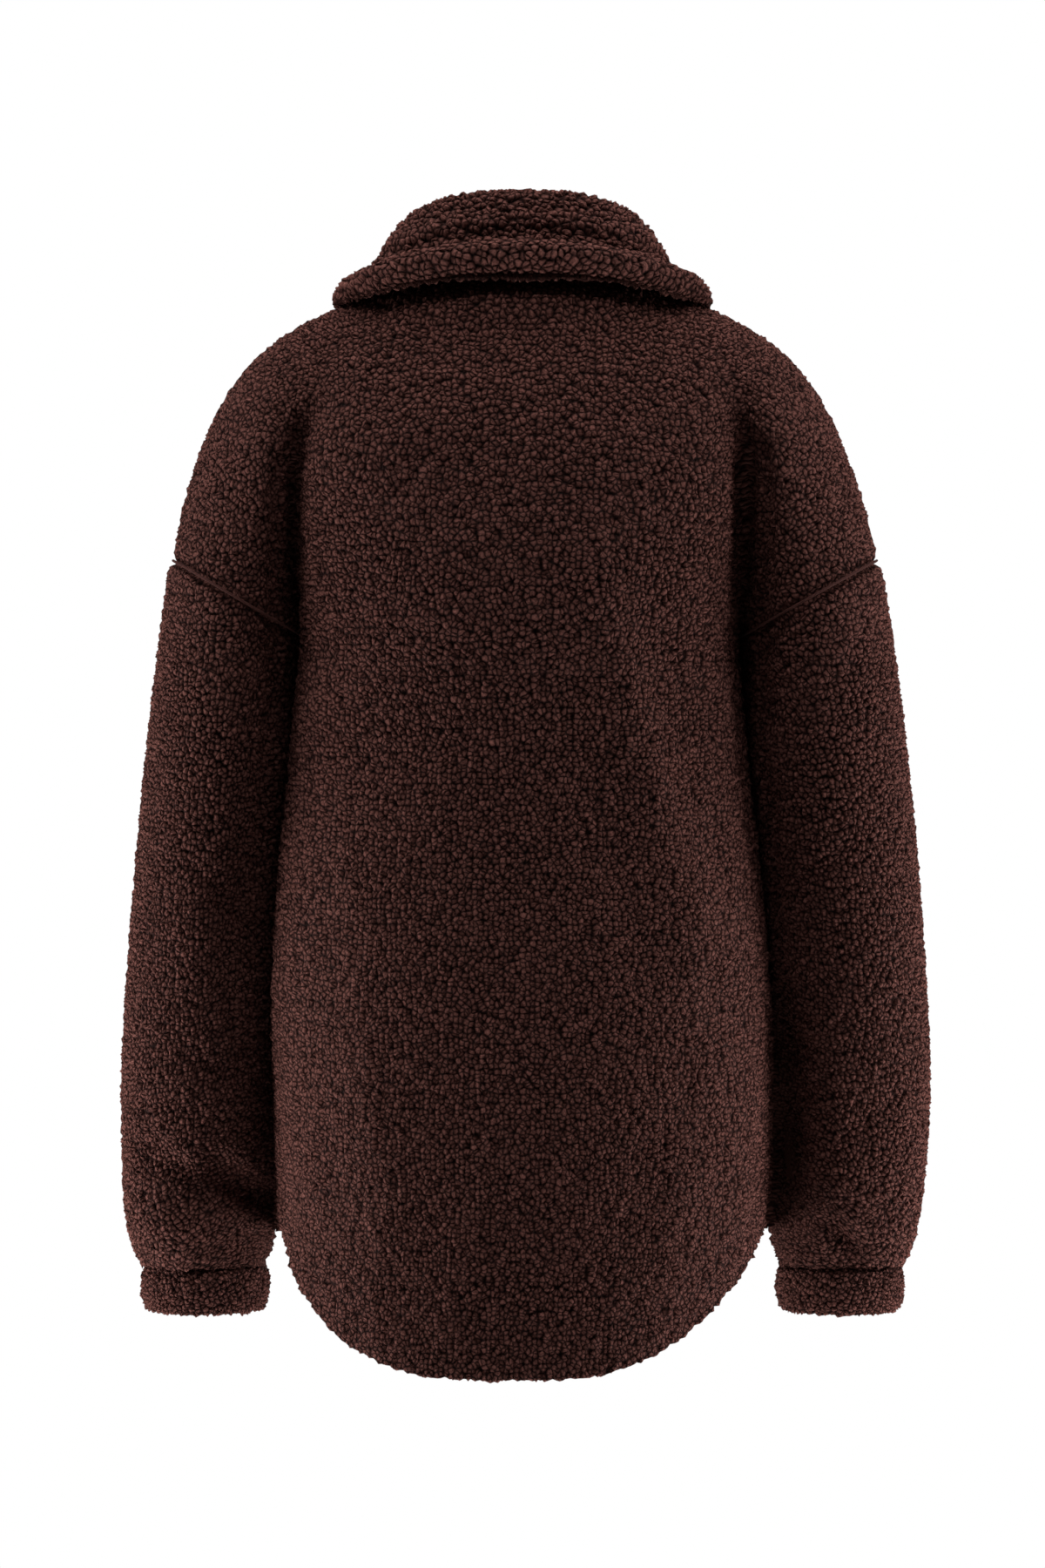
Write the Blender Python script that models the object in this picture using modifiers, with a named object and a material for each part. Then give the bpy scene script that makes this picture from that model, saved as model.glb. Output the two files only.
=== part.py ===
"""Teddy jacket: a shirt jacket in curly pile fleece, filled out and hollow as it is worn.

Metres, +Z up. The garment faces -Y and the wearer's left is +X. The origin lies midway between
the two high shoulder points, where the garment hangs on its wearer.
"""

import math

import bmesh
import bpy
import numpy as np
from mathutils import Matrix, Vector
from mathutils.bvhtree import BVHTree

# Cloth and seams
WALL = 0.007
COLLAR_THICK = 0.009
CUFF_THICK = 0.011
SEAM_GAP = 0.0003

# Front closure: the wearer's right front laps over the left one
PLACKET_HALF = 0.018
LAP_DEPTH = WALL + 0.0006
LAP_REACH = 0.034
BUTTON_RADIUS = 0.010
BUTTON_THICK = 0.0036
BUTTON_COUNT = 6
BUTTON_TOP_Z = -0.088
BUTTON_STEP = 0.105
BUTTON_PROFILE = [(0.0, 0.75), (0.62, 0.75), (0.76, 1.0), (0.93, 1.0), (1.0, 0.7), (1.0, 0.3),
                  (0.9, 0.0), (0.0, 0.0)]
BUTTON_STEPS = 18

# Grid steps: centre line to the crease under the arm, crease to the shoulder seam, down the body
TORSO_STEPS = 13
ARM_STEPS = 12
LOWER_STEPS = 15
LOWER_SHARES = np.r_[0.022, np.linspace(0.075, 1.0, LOWER_STEPS)]
SLEEVE_STEPS = 19
COLLAR_STEPS = 18
CURVE_POINTS = 161

# The crease between body and arm is a slot of this width with a rounded floor of this rise
CREASE_SLOT = 0.006
CREASE_RISE = 0.006

# Roundness of the plan sections: 2 is an ellipse, more is squarer
SMOOTH_ROUND = 2.3
TORSO_ROUND = 2.4
SLEEVE_ROUND = 2.15

UNDERARM_Z = -0.240
SIDE_HEM_Z = -0.648
BACK_HEM_Z = -0.734
FRONT_HEM_Z = -0.700
HEM_ROUND = 3.4
HEM_FULLNESS = 0.95

# The garment hangs a little askew: the hem swings to the wearer's left and the sleeves to the right
HEM_SWING = 0.0085
HEM_SWING_START = -0.640
HEM_SWING_REACH = 0.080
SLEEVE_SWING = 0.0030
SLEEVE_SWING_X = 0.18
SLEEVE_SWING_WIDTH = 0.07
SLEEVE_SWING_TOP = -0.12
SLEEVE_SWING_HEIGHT = 0.52


def table(names, rows):
    """Named columns of a short table, each an array."""
    return {name: np.array([row[k] for row in rows], float) for k, name in enumerate(names.split())}


# Rows from the neckline to the armhole. Each runs from the centre line, over the blade or the
# chest, through the crease, round the arm, to the shoulder seam. split is 0 where body and arm are
# one smooth form and 1 where the crease parts them.
UPPER = table(
    "shoulder_x shoulder_z back_z back_y front_z front_y crease_x crease_y crease_z arm_y split", [
        (0.0830, 0.0000, 0.012, 0.070, -0.062, 0.085, 0.054, 0.046, 0.005, 0.040, 0.0),
        (0.1000, -0.0060, -0.010, 0.081, -0.078, 0.093, 0.070, 0.060, -0.010, 0.050, 0.0),
        (0.1180, -0.0125, -0.034, 0.096, -0.094, 0.104, 0.086, 0.070, -0.025, 0.060, 0.0),
        (0.1360, -0.0205, -0.058, 0.110, -0.110, 0.112, 0.102, 0.076, -0.041, 0.070, 0.0),
        (0.1550, -0.0295, -0.083, 0.118, -0.127, 0.120, 0.118, 0.080, -0.059, 0.076, 0.0),
        (0.1730, -0.0415, -0.108, 0.124, -0.145, 0.127, 0.133, 0.082, -0.079, 0.082, 0.0),
        (0.1900, -0.0575, -0.133, 0.128, -0.163, 0.133, 0.145, 0.076, -0.101, 0.088, 0.30),
        (0.2045, -0.0780, -0.158, 0.130, -0.182, 0.138, 0.148, 0.056, -0.128, 0.085, 0.92),
        (0.2180, -0.1050, -0.184, 0.131, -0.201, 0.143, 0.148, 0.040, -0.158, 0.082, 1.0),
        (0.2320, -0.1430, -0.211, 0.131, -0.221, 0.147, 0.1475, 0.022, -0.196, 0.079, 1.0),
        (0.2415, -0.1890, -0.240, 0.130, -0.240, 0.150, 0.147, 0.000, -0.240, 0.078, 1.0),
    ])

# Plan sections of the body below the underarm, from the hem up
TORSO = table("z half_width back_y front_y", [
    (-0.760, 0.162, 0.142, 0.140),
    (-0.700, 0.164, 0.141, 0.141),
    (-0.640, 0.167, 0.140, 0.143),
    (-0.580, 0.170, 0.138, 0.145),
    (-0.520, 0.1705, 0.135, 0.146),
    (-0.460, 0.168, 0.131, 0.146),
    (-0.400, 0.163, 0.125, 0.147),
    (-0.340, 0.156, 0.122, 0.150),
    (-0.280, 0.1505, 0.126, 0.152),
    (-0.240, 0.147, 0.130, 0.150),
])

# Sleeve sections below the armhole seam: height and reach of the outer and the inner side
SLEEVE = table("outer_z inner_z outer_x inner_x centre_y half_depth", [
    (-0.189, -0.240, 0.2415, 0.1500, 0.000, 0.078),
    (-0.197, -0.252, 0.2450, 0.1530, 0.000, 0.0785),
    (-0.222, -0.272, 0.2485, 0.1535, 0.000, 0.078),
    (-0.258, -0.300, 0.2535, 0.1550, -0.001, 0.077),
    (-0.300, -0.332, 0.2590, 0.1575, -0.002, 0.076),
    (-0.345, -0.368, 0.2640, 0.1618, -0.005, 0.075),
    (-0.400, -0.412, 0.2695, 0.1665, -0.010, 0.073),
    (-0.460, -0.465, 0.2745, 0.1708, -0.016, 0.070),
    (-0.520, -0.522, 0.2790, 0.1730, -0.022, 0.067),
    (-0.580, -0.580, 0.2800, 0.1725, -0.028, 0.063),
    (-0.620, -0.618, 0.2772, 0.1710, -0.032, 0.060),
    (-0.645, -0.643, 0.2755, 0.1715, -0.034, 0.056),
    (-0.660, -0.659, 0.2725, 0.1735, -0.035, 0.050),
    (-0.670, -0.669, 0.2680, 0.1770, -0.035, 0.0445),
    (-0.676, -0.676, 0.2655, 0.1790, -0.035, 0.0420),
])

# Cuff band: mid line of the wall round the wrist
CUFF_CENTRE_X = 0.2210
CUFF_CENTRE_Y = -0.035
CUFF_HALF_X = 0.0383
CUFF_HALF_Y = 0.0375
CUFF_TOP_Z = -0.6763
CUFF_BOTTOM_Z = -0.7075
CUFF_COLUMNS = 28
CUFF_SECTION = [(-0.75, 1.0), (0.75, 1.0), (1.0, 0.55), (1.06, 0.0), (0.9, -0.55), (0.5, -0.9),
                (0.0, -1.0), (-0.6, -0.93), (-1.0, -0.62), (-1.0, 0.0), (-1.0, 0.75)]

# Collar, by angle round the neck from the centre back: middle of the fold's roll, and the free edge
FOLD_HALF_X = 0.0855
FOLD_BACK_Y = 0.0785
FOLD_FRONT_Y = 0.0880
FOLD_ROUND = 2.6
FOLD_RADIUS = 0.0070
COLLAR = table("angle fold_z edge_x edge_y edge_z", [
    (0, 0.0455, 0.000, 0.1010, -0.0040),
    (18, 0.0445, 0.047, 0.0970, -0.0030),
    (30, 0.0415, 0.071, 0.0900, -0.0055),
    (42, 0.0380, 0.090, 0.0800, -0.0085),
    (57, 0.0305, 0.108, 0.0600, -0.0120),
    (72, 0.0205, 0.120, 0.0330, -0.0125),
    (90, 0.0065, 0.1250, 0.0000, -0.0120),
    (112, -0.0050, 0.1220, -0.0450, -0.0330),
    (135, -0.0190, 0.1060, -0.0820, -0.0720),
    (155, -0.0330, 0.0840, -0.1060, -0.1140),
    (168, -0.0430, 0.0690, -0.1180, -0.1400),
    (178, -0.0500, 0.0580, -0.1260, -0.1560),
])
COLLAR_CLEAR = 0.5 * COLLAR_THICK + 0.0018
FALL_SHARES = (0.16, 0.32, 0.48, 0.64, 0.82, 1.0)
FOLD_ROWS = slice(3, 8)
FOLD_SQUEEZE = 0.5
FRONT_PARTING = 0.0008
ROLL_SWELL = 0.004
WAIST_SINK = 0.0025
WAIST_WIDTH = 0.12
FADE_ANGLE = 150.0
FOOT_LIFT = 0.0006
EDGE_ROLL = 0.0035

FLEECE_COLOUR = (0.045, 0.020, 0.016)
BUTTON_COLOUR = (0.020, 0.012, 0.010)

# Largest soft folds. side is 1 on the back face and -1 on the front face; a negative height sinks.
# A fold on the body stays inside FOLD_BODY_X, and one on a sleeve outside FOLD_SLEEVE_X.
FOLD_BODY_X = 0.160
FOLD_SLEEVE_X = 0.150
FOLD_FACING = 1.6
FOLDS = table("side start_x start_z end_x end_z height width", [
    (1, -0.050, -0.200, -0.120, -0.440, 0.0050, 0.020),
    (1, -0.088, -0.235, -0.128, -0.395, -0.0060, 0.018),
    (1, 0.060, -0.300, 0.130, -0.360, -0.0040, 0.022),
    (1, 0.030, -0.120, 0.120, -0.170, -0.0030, 0.020),
    (1, 0.215, -0.418, 0.178, -0.462, -0.0060, 0.012),
    (1, 0.222, -0.440, 0.186, -0.484, 0.0035, 0.011),
    (1, 0.252, -0.606, 0.196, -0.664, -0.0075, 0.013),
    (1, 0.270, -0.622, 0.232, -0.662, 0.0045, 0.014),
    (1, -0.188, -0.520, -0.182, -0.636, -0.0120, 0.012),
    (1, -0.207, -0.530, -0.203, -0.620, 0.0040, 0.011),
    (1, -0.200, -0.640, -0.232, -0.668, -0.0060, 0.013),
    (1, -0.240, -0.415, -0.190, -0.455, -0.0050, 0.013),
    (-1, 0.050, -0.330, 0.125, -0.420, -0.0050, 0.022),
    (-1, -0.060, -0.300, -0.128, -0.390, -0.0060, 0.020),
    (-1, 0.075, -0.165, 0.125, -0.235, -0.0045, 0.018),
    (-1, -0.070, -0.175, -0.120, -0.250, -0.0050, 0.018),
    (-1, 0.250, -0.430, 0.185, -0.470, -0.0070, 0.013),
    (-1, -0.250, -0.405, -0.188, -0.450, -0.0070, 0.013),
    (-1, 0.245, -0.610, 0.200, -0.650, -0.0065, 0.013),
    (-1, -0.250, -0.600, -0.196, -0.645, -0.0060, 0.013),
])


def smooth(keys, values, at):
    """A smooth curve through the rows of a table, read at the given key."""
    slopes = np.gradient(values, keys)
    low = int(np.clip(np.searchsorted(keys, at) - 1, 0, len(keys) - 2))
    step = keys[low + 1] - keys[low]
    t = float(np.clip((at - keys[low]) / step, 0.0, 1.0))
    rise = (2 * t**3 - 3 * t**2 + 1) * values[low] + (3 * t**2 - 2 * t**3) * values[low + 1]
    bend = (t**3 - 2 * t**2 + t) * slopes[low] + (t**3 - t**2) * slopes[low + 1]
    return rise + step * bend


def power(value, round_):
    """Sine or cosine bent towards a squarer section."""
    return np.sign(value) * np.abs(value) ** (2.0 / round_)


def spread(points, steps):
    """The same curve with evenly spaced points."""
    lengths = np.r_[0.0, np.cumsum(np.linalg.norm(np.diff(points, axis=0), axis=1))]
    at = np.linspace(0.0, lengths[-1], steps + 1)
    return np.column_stack([np.interp(at, lengths, points[:, k]) for k in range(3)])


def quarter(half_x, half_y, round_):
    """Plan curve from the centre line, at full depth, round to the side."""
    turn = np.linspace(0.0, math.pi / 2, CURVE_POINTS)
    return half_x * power(np.sin(turn), round_), half_y * power(np.cos(turn), round_)


def starting_at(points, x):
    """The part of a row curve from the given distance off the centre line."""
    kept = points[points[:, 0] > x]
    share = (x - points[0, 0]) / max(points[-1, 0] - points[0, 0], 1e-9)
    first = np.array([np.interp(x, points[:40, 0], points[:40, k]) for k in range(3)])
    return np.vstack([first, kept]) if share > 0 else points


def upper_half(row, side, start_x):
    """One upper row on the wearer's left, from the centre line to the shoulder seam."""
    r = {name: column[row] for name, column in UPPER.items()}
    centre_z, depth = (r["back_z"], r["back_y"]) if side > 0 else (r["front_z"], r["front_y"])
    end = np.array([r["shoulder_x"], 0.0, r["shoulder_z"]])
    x, y = quarter(r["shoulder_x"], depth, SMOOTH_ROUND)
    z = centre_z + (r["shoulder_z"] - centre_z) * (x / r["shoulder_x"]) ** 2
    whole = np.column_stack([x, side * y, z])
    near = int(np.searchsorted(x, r["crease_x"]))
    smooth_row = np.vstack([
        spread(starting_at(whole[:near + 1], start_x), TORSO_STEPS),
        spread(whole[near:], ARM_STEPS)[1:],
    ])
    floor_y = r["crease_y"] + CREASE_RISE
    x, y = quarter(r["crease_x"], depth - floor_y, TORSO_ROUND)
    z = centre_z + (r["crease_z"] - centre_z) * (x / r["crease_x"]) ** 2
    body = spread(starting_at(np.column_stack([x, side * (floor_y + y), z]), start_x), TORSO_STEPS - 1)
    crease = np.array([r["crease_x"] + 0.5 * CREASE_SLOT, side * r["crease_y"], r["crease_z"]])
    turn = np.linspace(0.0, math.pi, CURVE_POINTS)
    arm_start = r["crease_x"] + CREASE_SLOT
    x = arm_start + (r["shoulder_x"] - arm_start) * 0.5 * (1 - np.cos(turn))
    y = floor_y * 0.5 * (1 + np.cos(turn)) + (r["arm_y"] - 0.5 * floor_y) * power(np.sin(turn), 2.3)
    z = r["crease_z"] + (r["shoulder_z"] - r["crease_z"]) * (x - arm_start) / (r["shoulder_x"] - arm_start)
    arm = spread(np.column_stack([x, side * y, z]), ARM_STEPS - 1)
    parted_row = np.vstack([body, crease, arm])
    mixed = smooth_row + (parted_row - smooth_row) * r["split"]
    mixed[-1] = end
    return mixed


def hem_height(share, side):
    """Height of the curved hem at a share of the half width."""
    centre_z = BACK_HEM_Z if side > 0 else FRONT_HEM_Z
    return SIDE_HEM_Z + (centre_z - SIDE_HEM_Z) * max(0.0, 1.0 - share**HEM_ROUND) ** HEM_FULLNESS


def torso_point(share_x, share_y, side, z):
    """Point on the body below the underarm, from its shares of half width and depth."""
    half = smooth(TORSO["z"], TORSO["half_width"], z)
    depth = smooth(TORSO["z"], TORSO["back_y" if side > 0 else "front_y"], z)
    return np.array([half * share_x, side * depth * share_y, z])


def lower_half(down, side, start_x):
    """One row at a share of the way from the underarm to the hem, out to the side seam."""
    x, y = quarter(1.0, 1.0, TORSO_ROUND)
    half = TORSO["half_width"][-1]
    shape = starting_at(np.column_stack([x * half, y * half, x * 0]), start_x)
    shape = spread(shape, TORSO_STEPS) / half
    points = []
    for share_x, share_y, _ in shape:
        hem_z = hem_height(share_x, side)
        z = UNDERARM_Z + (hem_z - UNDERARM_Z) * down
        points.append(torso_point(share_x, share_y, side, z))
    return np.array(points)


def mirrored(points):
    """The same points on the wearer's other side."""
    return points * np.array([-1.0, 1.0, 1.0])


def full_row(half, middle):
    """The row across the body, wearer's right to left, with extra points in the middle."""
    return np.vstack([mirrored(half)[::-1], middle, half])


def back_rows():
    """Rows of the back panel, from neckline to hem."""
    rows = [upper_half(row, 1, 0.0) for row in range(len(UPPER["split"]))]
    rows += [lower_half(down, 1, 0.0) for down in LOWER_SHARES]
    return [np.vstack([mirrored(half)[:0:-1], half]) for half in rows]


def front_rows():
    """Rows across both fronts; the two middle points keep the placket's strip apart."""
    rows = [upper_half(row, -1, PLACKET_HALF) for row in range(len(UPPER["split"]))]
    rows += [lower_half(down, -1, PLACKET_HALF) for down in LOWER_SHARES]
    full = []
    for half in rows:
        inner = half[0] * np.array([1 / 3, 1.0, 1.0]) - np.array([0.0, 0.0003, 0.0])
        full.append(full_row(half, np.array([mirrored(inner), inner])))
    return full


def sleeve_ring(position):
    """One ring of the wearer's left sleeve, from the inner side over the back, round the front."""
    rows = np.arange(len(SLEEVE["outer_z"]), dtype=float)
    r = {name: smooth(rows, column, position) for name, column in SLEEVE.items()}
    turn = np.linspace(0.0, 2 * math.pi, 2 * CURVE_POINTS)
    across = 0.5 * (1 - np.sign(np.cos(turn)) * np.abs(np.cos(turn)) ** (2 / SLEEVE_ROUND))
    x = r["inner_x"] + (r["outer_x"] - r["inner_x"]) * across
    y = r["centre_y"] + r["half_depth"] * power(np.sin(turn), SLEEVE_ROUND)
    z = r["inner_z"] + (r["outer_z"] - r["inner_z"]) * across
    return spread(np.column_stack([x, y, z]), 2 * ARM_STEPS)[:-1]


def sleeve_rows(back_arm, front_arm):
    """Rings of a sleeve; the first is the armhole, so the panels and the sleeve share its points."""
    armhole = np.vstack([back_arm, front_arm[-2:0:-1]])
    last = len(SLEEVE["outer_z"]) - 1
    positions = np.linspace(0.0, last, SLEEVE_STEPS + 1)[1:]
    return [armhole] + [sleeve_ring(position) for position in positions]


class Shell:
    """Outer surface of body and sleeves, with the points that neighbours share."""

    def __init__(self):
        self.points = []
        self.found = {}
        self.cells = {}
        self.neck = []
        self.underarms = []

    def vertex(self, point):
        key = tuple(round(float(value), 5) + 0.0 for value in point)
        if key not in self.found:
            self.found[key] = len(self.points)
            self.points.append(np.array(point, float))
        return self.found[key]

    def add(self, panel, corners, flip=False):
        ids = [self.vertex(corner) for corner in corners]
        self.cells.setdefault(panel, []).append(ids[::-1] if flip else ids)

    def normals(self):
        points = np.array(self.points)
        total = np.zeros_like(points)
        for cells in self.cells.values():
            for ids in cells:
                a, b, c, d = (points[k] for k in ids)
                total[ids] += np.cross(c - a, d - b)
        total[self.underarms] = (0.0, 0.0, -1.0)
        return total / np.linalg.norm(total, axis=1)[:, None]


def add_grid(shell, rows, name_of, flip):
    """Cells between neighbouring rows; a shorter row below an upper one leaves the arm part out."""
    for upper, lower in zip(rows[:-1], rows[1:]):
        trim = (len(upper) - len(lower)) // 2
        upper = upper[trim:len(upper) - trim] if trim else upper
        for k in range(len(upper) - 1):
            shell.add(name_of(k, len(upper)), (upper[k], lower[k], lower[k + 1], upper[k + 1]), flip)


def front_name(k, count):
    middle = (count - 1) // 2
    if abs(k - middle) <= 1:
        return "placket_top"
    return "front_right" if k < middle else "front_left"


def add_sleeve(shell, name, rings, flip):
    for upper, lower in zip(rings[:-1], rings[1:]):
        for k in range(len(upper)):
            after = (k + 1) % len(upper)
            shell.add(name, (upper[k], lower[k], lower[after], upper[after]), flip)


def swing(shell):
    """Set the hem and the sleeves' outer sides askew, as the garment hangs."""
    for point in shell.points:
        low = np.clip((HEM_SWING_START - point[2]) / HEM_SWING_REACH, 0.0, 1.0)
        if abs(point[0]) < TORSO["half_width"].max() + 0.0005:
            point[0] += HEM_SWING * low * low * (3 - 2 * low)
        outer = np.clip((abs(point[0]) - SLEEVE_SWING_X) / SLEEVE_SWING_WIDTH, 0.0, 1.0)
        along = np.clip((SLEEVE_SWING_TOP - point[2]) / SLEEVE_SWING_HEIGHT, 0.0, 1.0)
        point[0] -= SLEEVE_SWING * outer * math.sin(math.pi * along) ** 0.5


def raise_folds(shell):
    """Push the outer points out or in along the folds."""
    points = np.array(shell.points)
    normals = shell.normals()
    push = np.zeros(len(points))
    for k in range(len(FOLDS["side"])):
        start = np.array([FOLDS["start_x"][k], FOLDS["start_z"][k]])
        along = np.array([FOLDS["end_x"][k], FOLDS["end_z"][k]]) - start
        flat = points[:, [0, 2]] - start
        t = np.clip(flat @ along / (along @ along), 0.0, 1.0)
        away = np.linalg.norm(flat - t[:, None] * along, axis=1)
        facing = np.clip(normals[:, 1] * FOLDS["side"][k] * FOLD_FACING, 0.0, 1.0)
        out = np.abs(points[:, 0])
        same_tube = out > FOLD_SLEEVE_X if abs(start[0]) > FOLD_BODY_X else out < FOLD_BODY_X
        push += FOLDS["height"][k] * np.exp(-(away / FOLDS["width"][k]) ** 2) * facing * same_tube
    shell.points = list(points + normals * push[:, None])


def build_shell():
    shell = Shell()
    back = back_rows()
    front = front_rows()
    add_grid(shell, back, lambda k, count: "back", True)
    add_grid(shell, front, front_name, False)
    middle = len(back[0]) // 2
    shell.neck = [shell.vertex(point) for point in back[0][middle:]]
    middle = len(front[0]) // 2
    shell.neck += [shell.vertex(point) for point in front[0][middle:-1]]
    armhole = len(UPPER["split"]) - 1
    back_arm = back[armhole][-(ARM_STEPS + 1):]
    front_arm = front[armhole][-(ARM_STEPS + 1):]
    shell.underarms = [shell.vertex(back_arm[0]), shell.vertex(mirrored(back_arm[0]))]
    rings = sleeve_rows(back_arm, front_arm)
    add_sleeve(shell, "sleeve_left", rings, True)
    add_sleeve(shell, "sleeve_right", [mirrored(ring) for ring in rings], False)
    swing(shell)
    raise_folds(shell)
    return shell


def boundary_edges(cells):
    """Edges that only one cell of the panel uses, in the cell's own direction."""
    directed = {(ids[k], ids[(k + 1) % len(ids)]) for ids in cells for k in range(len(ids))}
    return [edge for edge in directed if (edge[1], edge[0]) not in directed]


def edge_insets(points, normals, cells, corners):
    """Half the seam gap, inwards across the panel's border; corners move towards their cells."""
    centres = {}
    for ids in cells:
        for k in ids:
            centres.setdefault(k, []).append(points[ids].mean(axis=0))
    tangents = {}
    for a, b in boundary_edges(cells):
        for k in (a, b):
            tangents[k] = tangents.get(k, np.zeros(3)) + points[b] - points[a]
    shifts = {}
    for k, tangent in tangents.items():
        inward = np.mean(centres[k], axis=0) - points[k]
        inward = inward - normals[k] * (inward @ normals[k])
        tangent = tangent / np.linalg.norm(tangent)
        inward = inward - tangent * (inward @ tangent)
        shifts[k] = inward / np.linalg.norm(inward) * (0.5 * SEAM_GAP)
    for k in (k for k in corners if k in tangents):
        inward = np.mean(centres[k], axis=0) - points[k]
        shifts[k] = inward / np.linalg.norm(inward) * (0.7 * SEAM_GAP)
    return shifts


def wall_mesh(shell, normals, panel, sink):
    """Closed wall: outer faces, inner faces and a rim. sink moves the outer face in, by vertex."""
    points = np.array(shell.points)
    cells = shell.cells[panel]
    used = sorted({k for ids in cells for k in ids})
    place = {k: n for n, k in enumerate(used)}
    shifts = edge_insets(points, normals, cells, shell.underarms)
    outer = [points[k] - normals[k] * sink(points[k]) + shifts.get(k, 0.0) for k in used]
    inner = [p - normals[k] * WALL for p, k in zip(outer, used)]
    count = len(used)
    faces = []
    for ids in cells:
        quad = [place[k] for k in ids]
        faces.append(quad)
        faces.append([n + count for n in reversed(quad)])
    for a, b in boundary_edges(cells):
        a_out, b_out = place[a], place[b]
        a_in, b_in = a_out + count, b_out + count
        if a < b:
            faces += [[b_out, a_out, b_in], [a_out, a_in, b_in]]
        else:
            faces += [[b_out, a_out, a_in], [b_out, a_in, b_in]]
    return outer + inner, faces


def principled(name, colour, roughness):
    material = bpy.data.materials.new(name)
    material.use_nodes = True
    shader = material.node_tree.nodes["Principled BSDF"]
    shader.inputs["Base Color"].default_value = (*colour, 1.0)
    shader.inputs["Roughness"].default_value = roughness
    shader.inputs["Metallic"].default_value = 0.0
    return material


def new_object(name, vertices, faces, material, collection):
    mesh = bpy.data.meshes.new(name)
    mesh.from_pydata([tuple(v) for v in vertices], [], faces)
    mesh.materials.append(material)
    mesh.shade_smooth()
    piece = bpy.data.objects.new(name, mesh)
    collection.objects.link(piece)
    return piece


def loft_mesh(rings, closed):
    """Closed skin through rings of equal length; an open row of rings gets end caps."""
    size = len(rings[0])
    vertices = [point for ring in rings for point in ring]
    last = len(rings) if closed else len(rings) - 1
    faces = []
    for i in range(last):
        after = (i + 1) % len(rings)
        for k in range(size):
            side = (k + 1) % size
            faces.append([i * size + k, i * size + side, after * size + side, after * size + k])
    if not closed:
        faces.append([k for k in reversed(range(size))])
        faces.append([last * size + k for k in range(size)])
    return vertices, faces


def facing_out(piece):
    """Turn the faces of a closed mesh outwards."""
    work = bmesh.new()
    work.from_mesh(piece.data)
    bmesh.ops.recalc_face_normals(work, faces=work.faces)
    if work.calc_volume(signed=True) < 0:
        bmesh.ops.reverse_faces(work, faces=work.faces)
    work.to_mesh(piece.data)
    work.free()
    return piece


def cuff_rings(side):
    """Sections of the folded cuff band round the wrist, a rounded bar each."""
    half_high = 0.5 * (CUFF_TOP_Z - CUFF_BOTTOM_Z)
    middle_z = 0.5 * (CUFF_TOP_Z + CUFF_BOTTOM_Z)
    half_thick = 0.5 * CUFF_THICK
    rings = []
    for k in range(CUFF_COLUMNS):
        turn = 2 * math.pi * k / CUFF_COLUMNS
        out = np.array([side * math.cos(turn), math.sin(turn), 0.0])
        middle = np.array([side * (CUFF_CENTRE_X + CUFF_HALF_X * math.cos(turn)),
                           CUFF_CENTRE_Y + CUFF_HALF_Y * math.sin(turn), middle_z])
        rings.append([middle + out * half_thick * across + np.array([0.0, 0.0, half_high * up])
                      for across, up in CUFF_SECTION])
    return rings


def pushed_clear(tree, point, clearance):
    """The point, moved out along the body's normal where it is nearer than the clearance."""
    near, normal, _, _ = tree.find_nearest(Vector(point))
    away = Vector(point) - near
    height = away.dot(normal)
    past_edge = (away - normal * height).length > 0.5 * away.length
    if height >= clearance or past_edge:
        return point
    return np.array(near + normal * clearance)


def collar_path(tree, foot, angle):
    """Mid line of the collar from the neck seam, up the stand, over the fold, down the fall."""
    turn = math.radians(angle)
    fold_y = FOLD_BACK_Y if angle < 90 else FOLD_FRONT_Y
    fold = np.array([FOLD_HALF_X * power(math.sin(turn), FOLD_ROUND),
                     fold_y * power(math.cos(turn), FOLD_ROUND),
                     smooth(COLLAR["angle"], COLLAR["fold_z"], angle)])
    edge = np.array([smooth(COLLAR["angle"], COLLAR[name], angle)
                     for name in ("edge_x", "edge_y", "edge_z")])
    reach = math.hypot(edge[0] - fold[0], edge[1] - fold[1])
    out = np.array([edge[0] - fold[0], edge[1] - fold[1], 0.0]) / reach
    up = np.array([0.0, 0.0, 1.0])
    stand_top = fold - out * FOLD_RADIUS
    path = [foot + (stand_top - foot) * share for share in (0.0, 0.33, 0.67, 1.0)]
    roll_end = math.pi / 2 + math.atan2(fold[2] - edge[2], reach)
    for share in (0.25, 0.5, 0.75, 1.0):
        lean = roll_end * share
        path.append(fold + (up * math.sin(lean) - out * math.cos(lean)) * FOLD_RADIUS)
    fall_top = path[-1]
    fade = max(0.0, 1.0 - angle / FADE_ANGLE)
    for share in FALL_SHARES:
        waist = math.exp(-((share - FALL_SHARES[0]) / WAIST_WIDTH) ** 2)
        swell = ROLL_SWELL * math.sin(math.pi * share) - WAIST_SINK * waist
        point = fall_top + (edge - fall_top) * share + (out + up) * swell * fade
        path.append(pushed_clear(tree, point, COLLAR_CLEAR))
    return np.array(path)


def neckline(shell, normals):
    """Neck edge of the panels on the wearer's left, by angle: the point and the way inwards."""
    rows = []
    for k in shell.neck:
        point = shell.points[k]
        inward = -normals[k] * np.array([1.0, 1.0, 0.0])
        inward /= np.linalg.norm(inward)
        rows.append([math.degrees(math.atan2(point[0], point[1])), *point, *inward])
    return np.array(sorted(rows))


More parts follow.
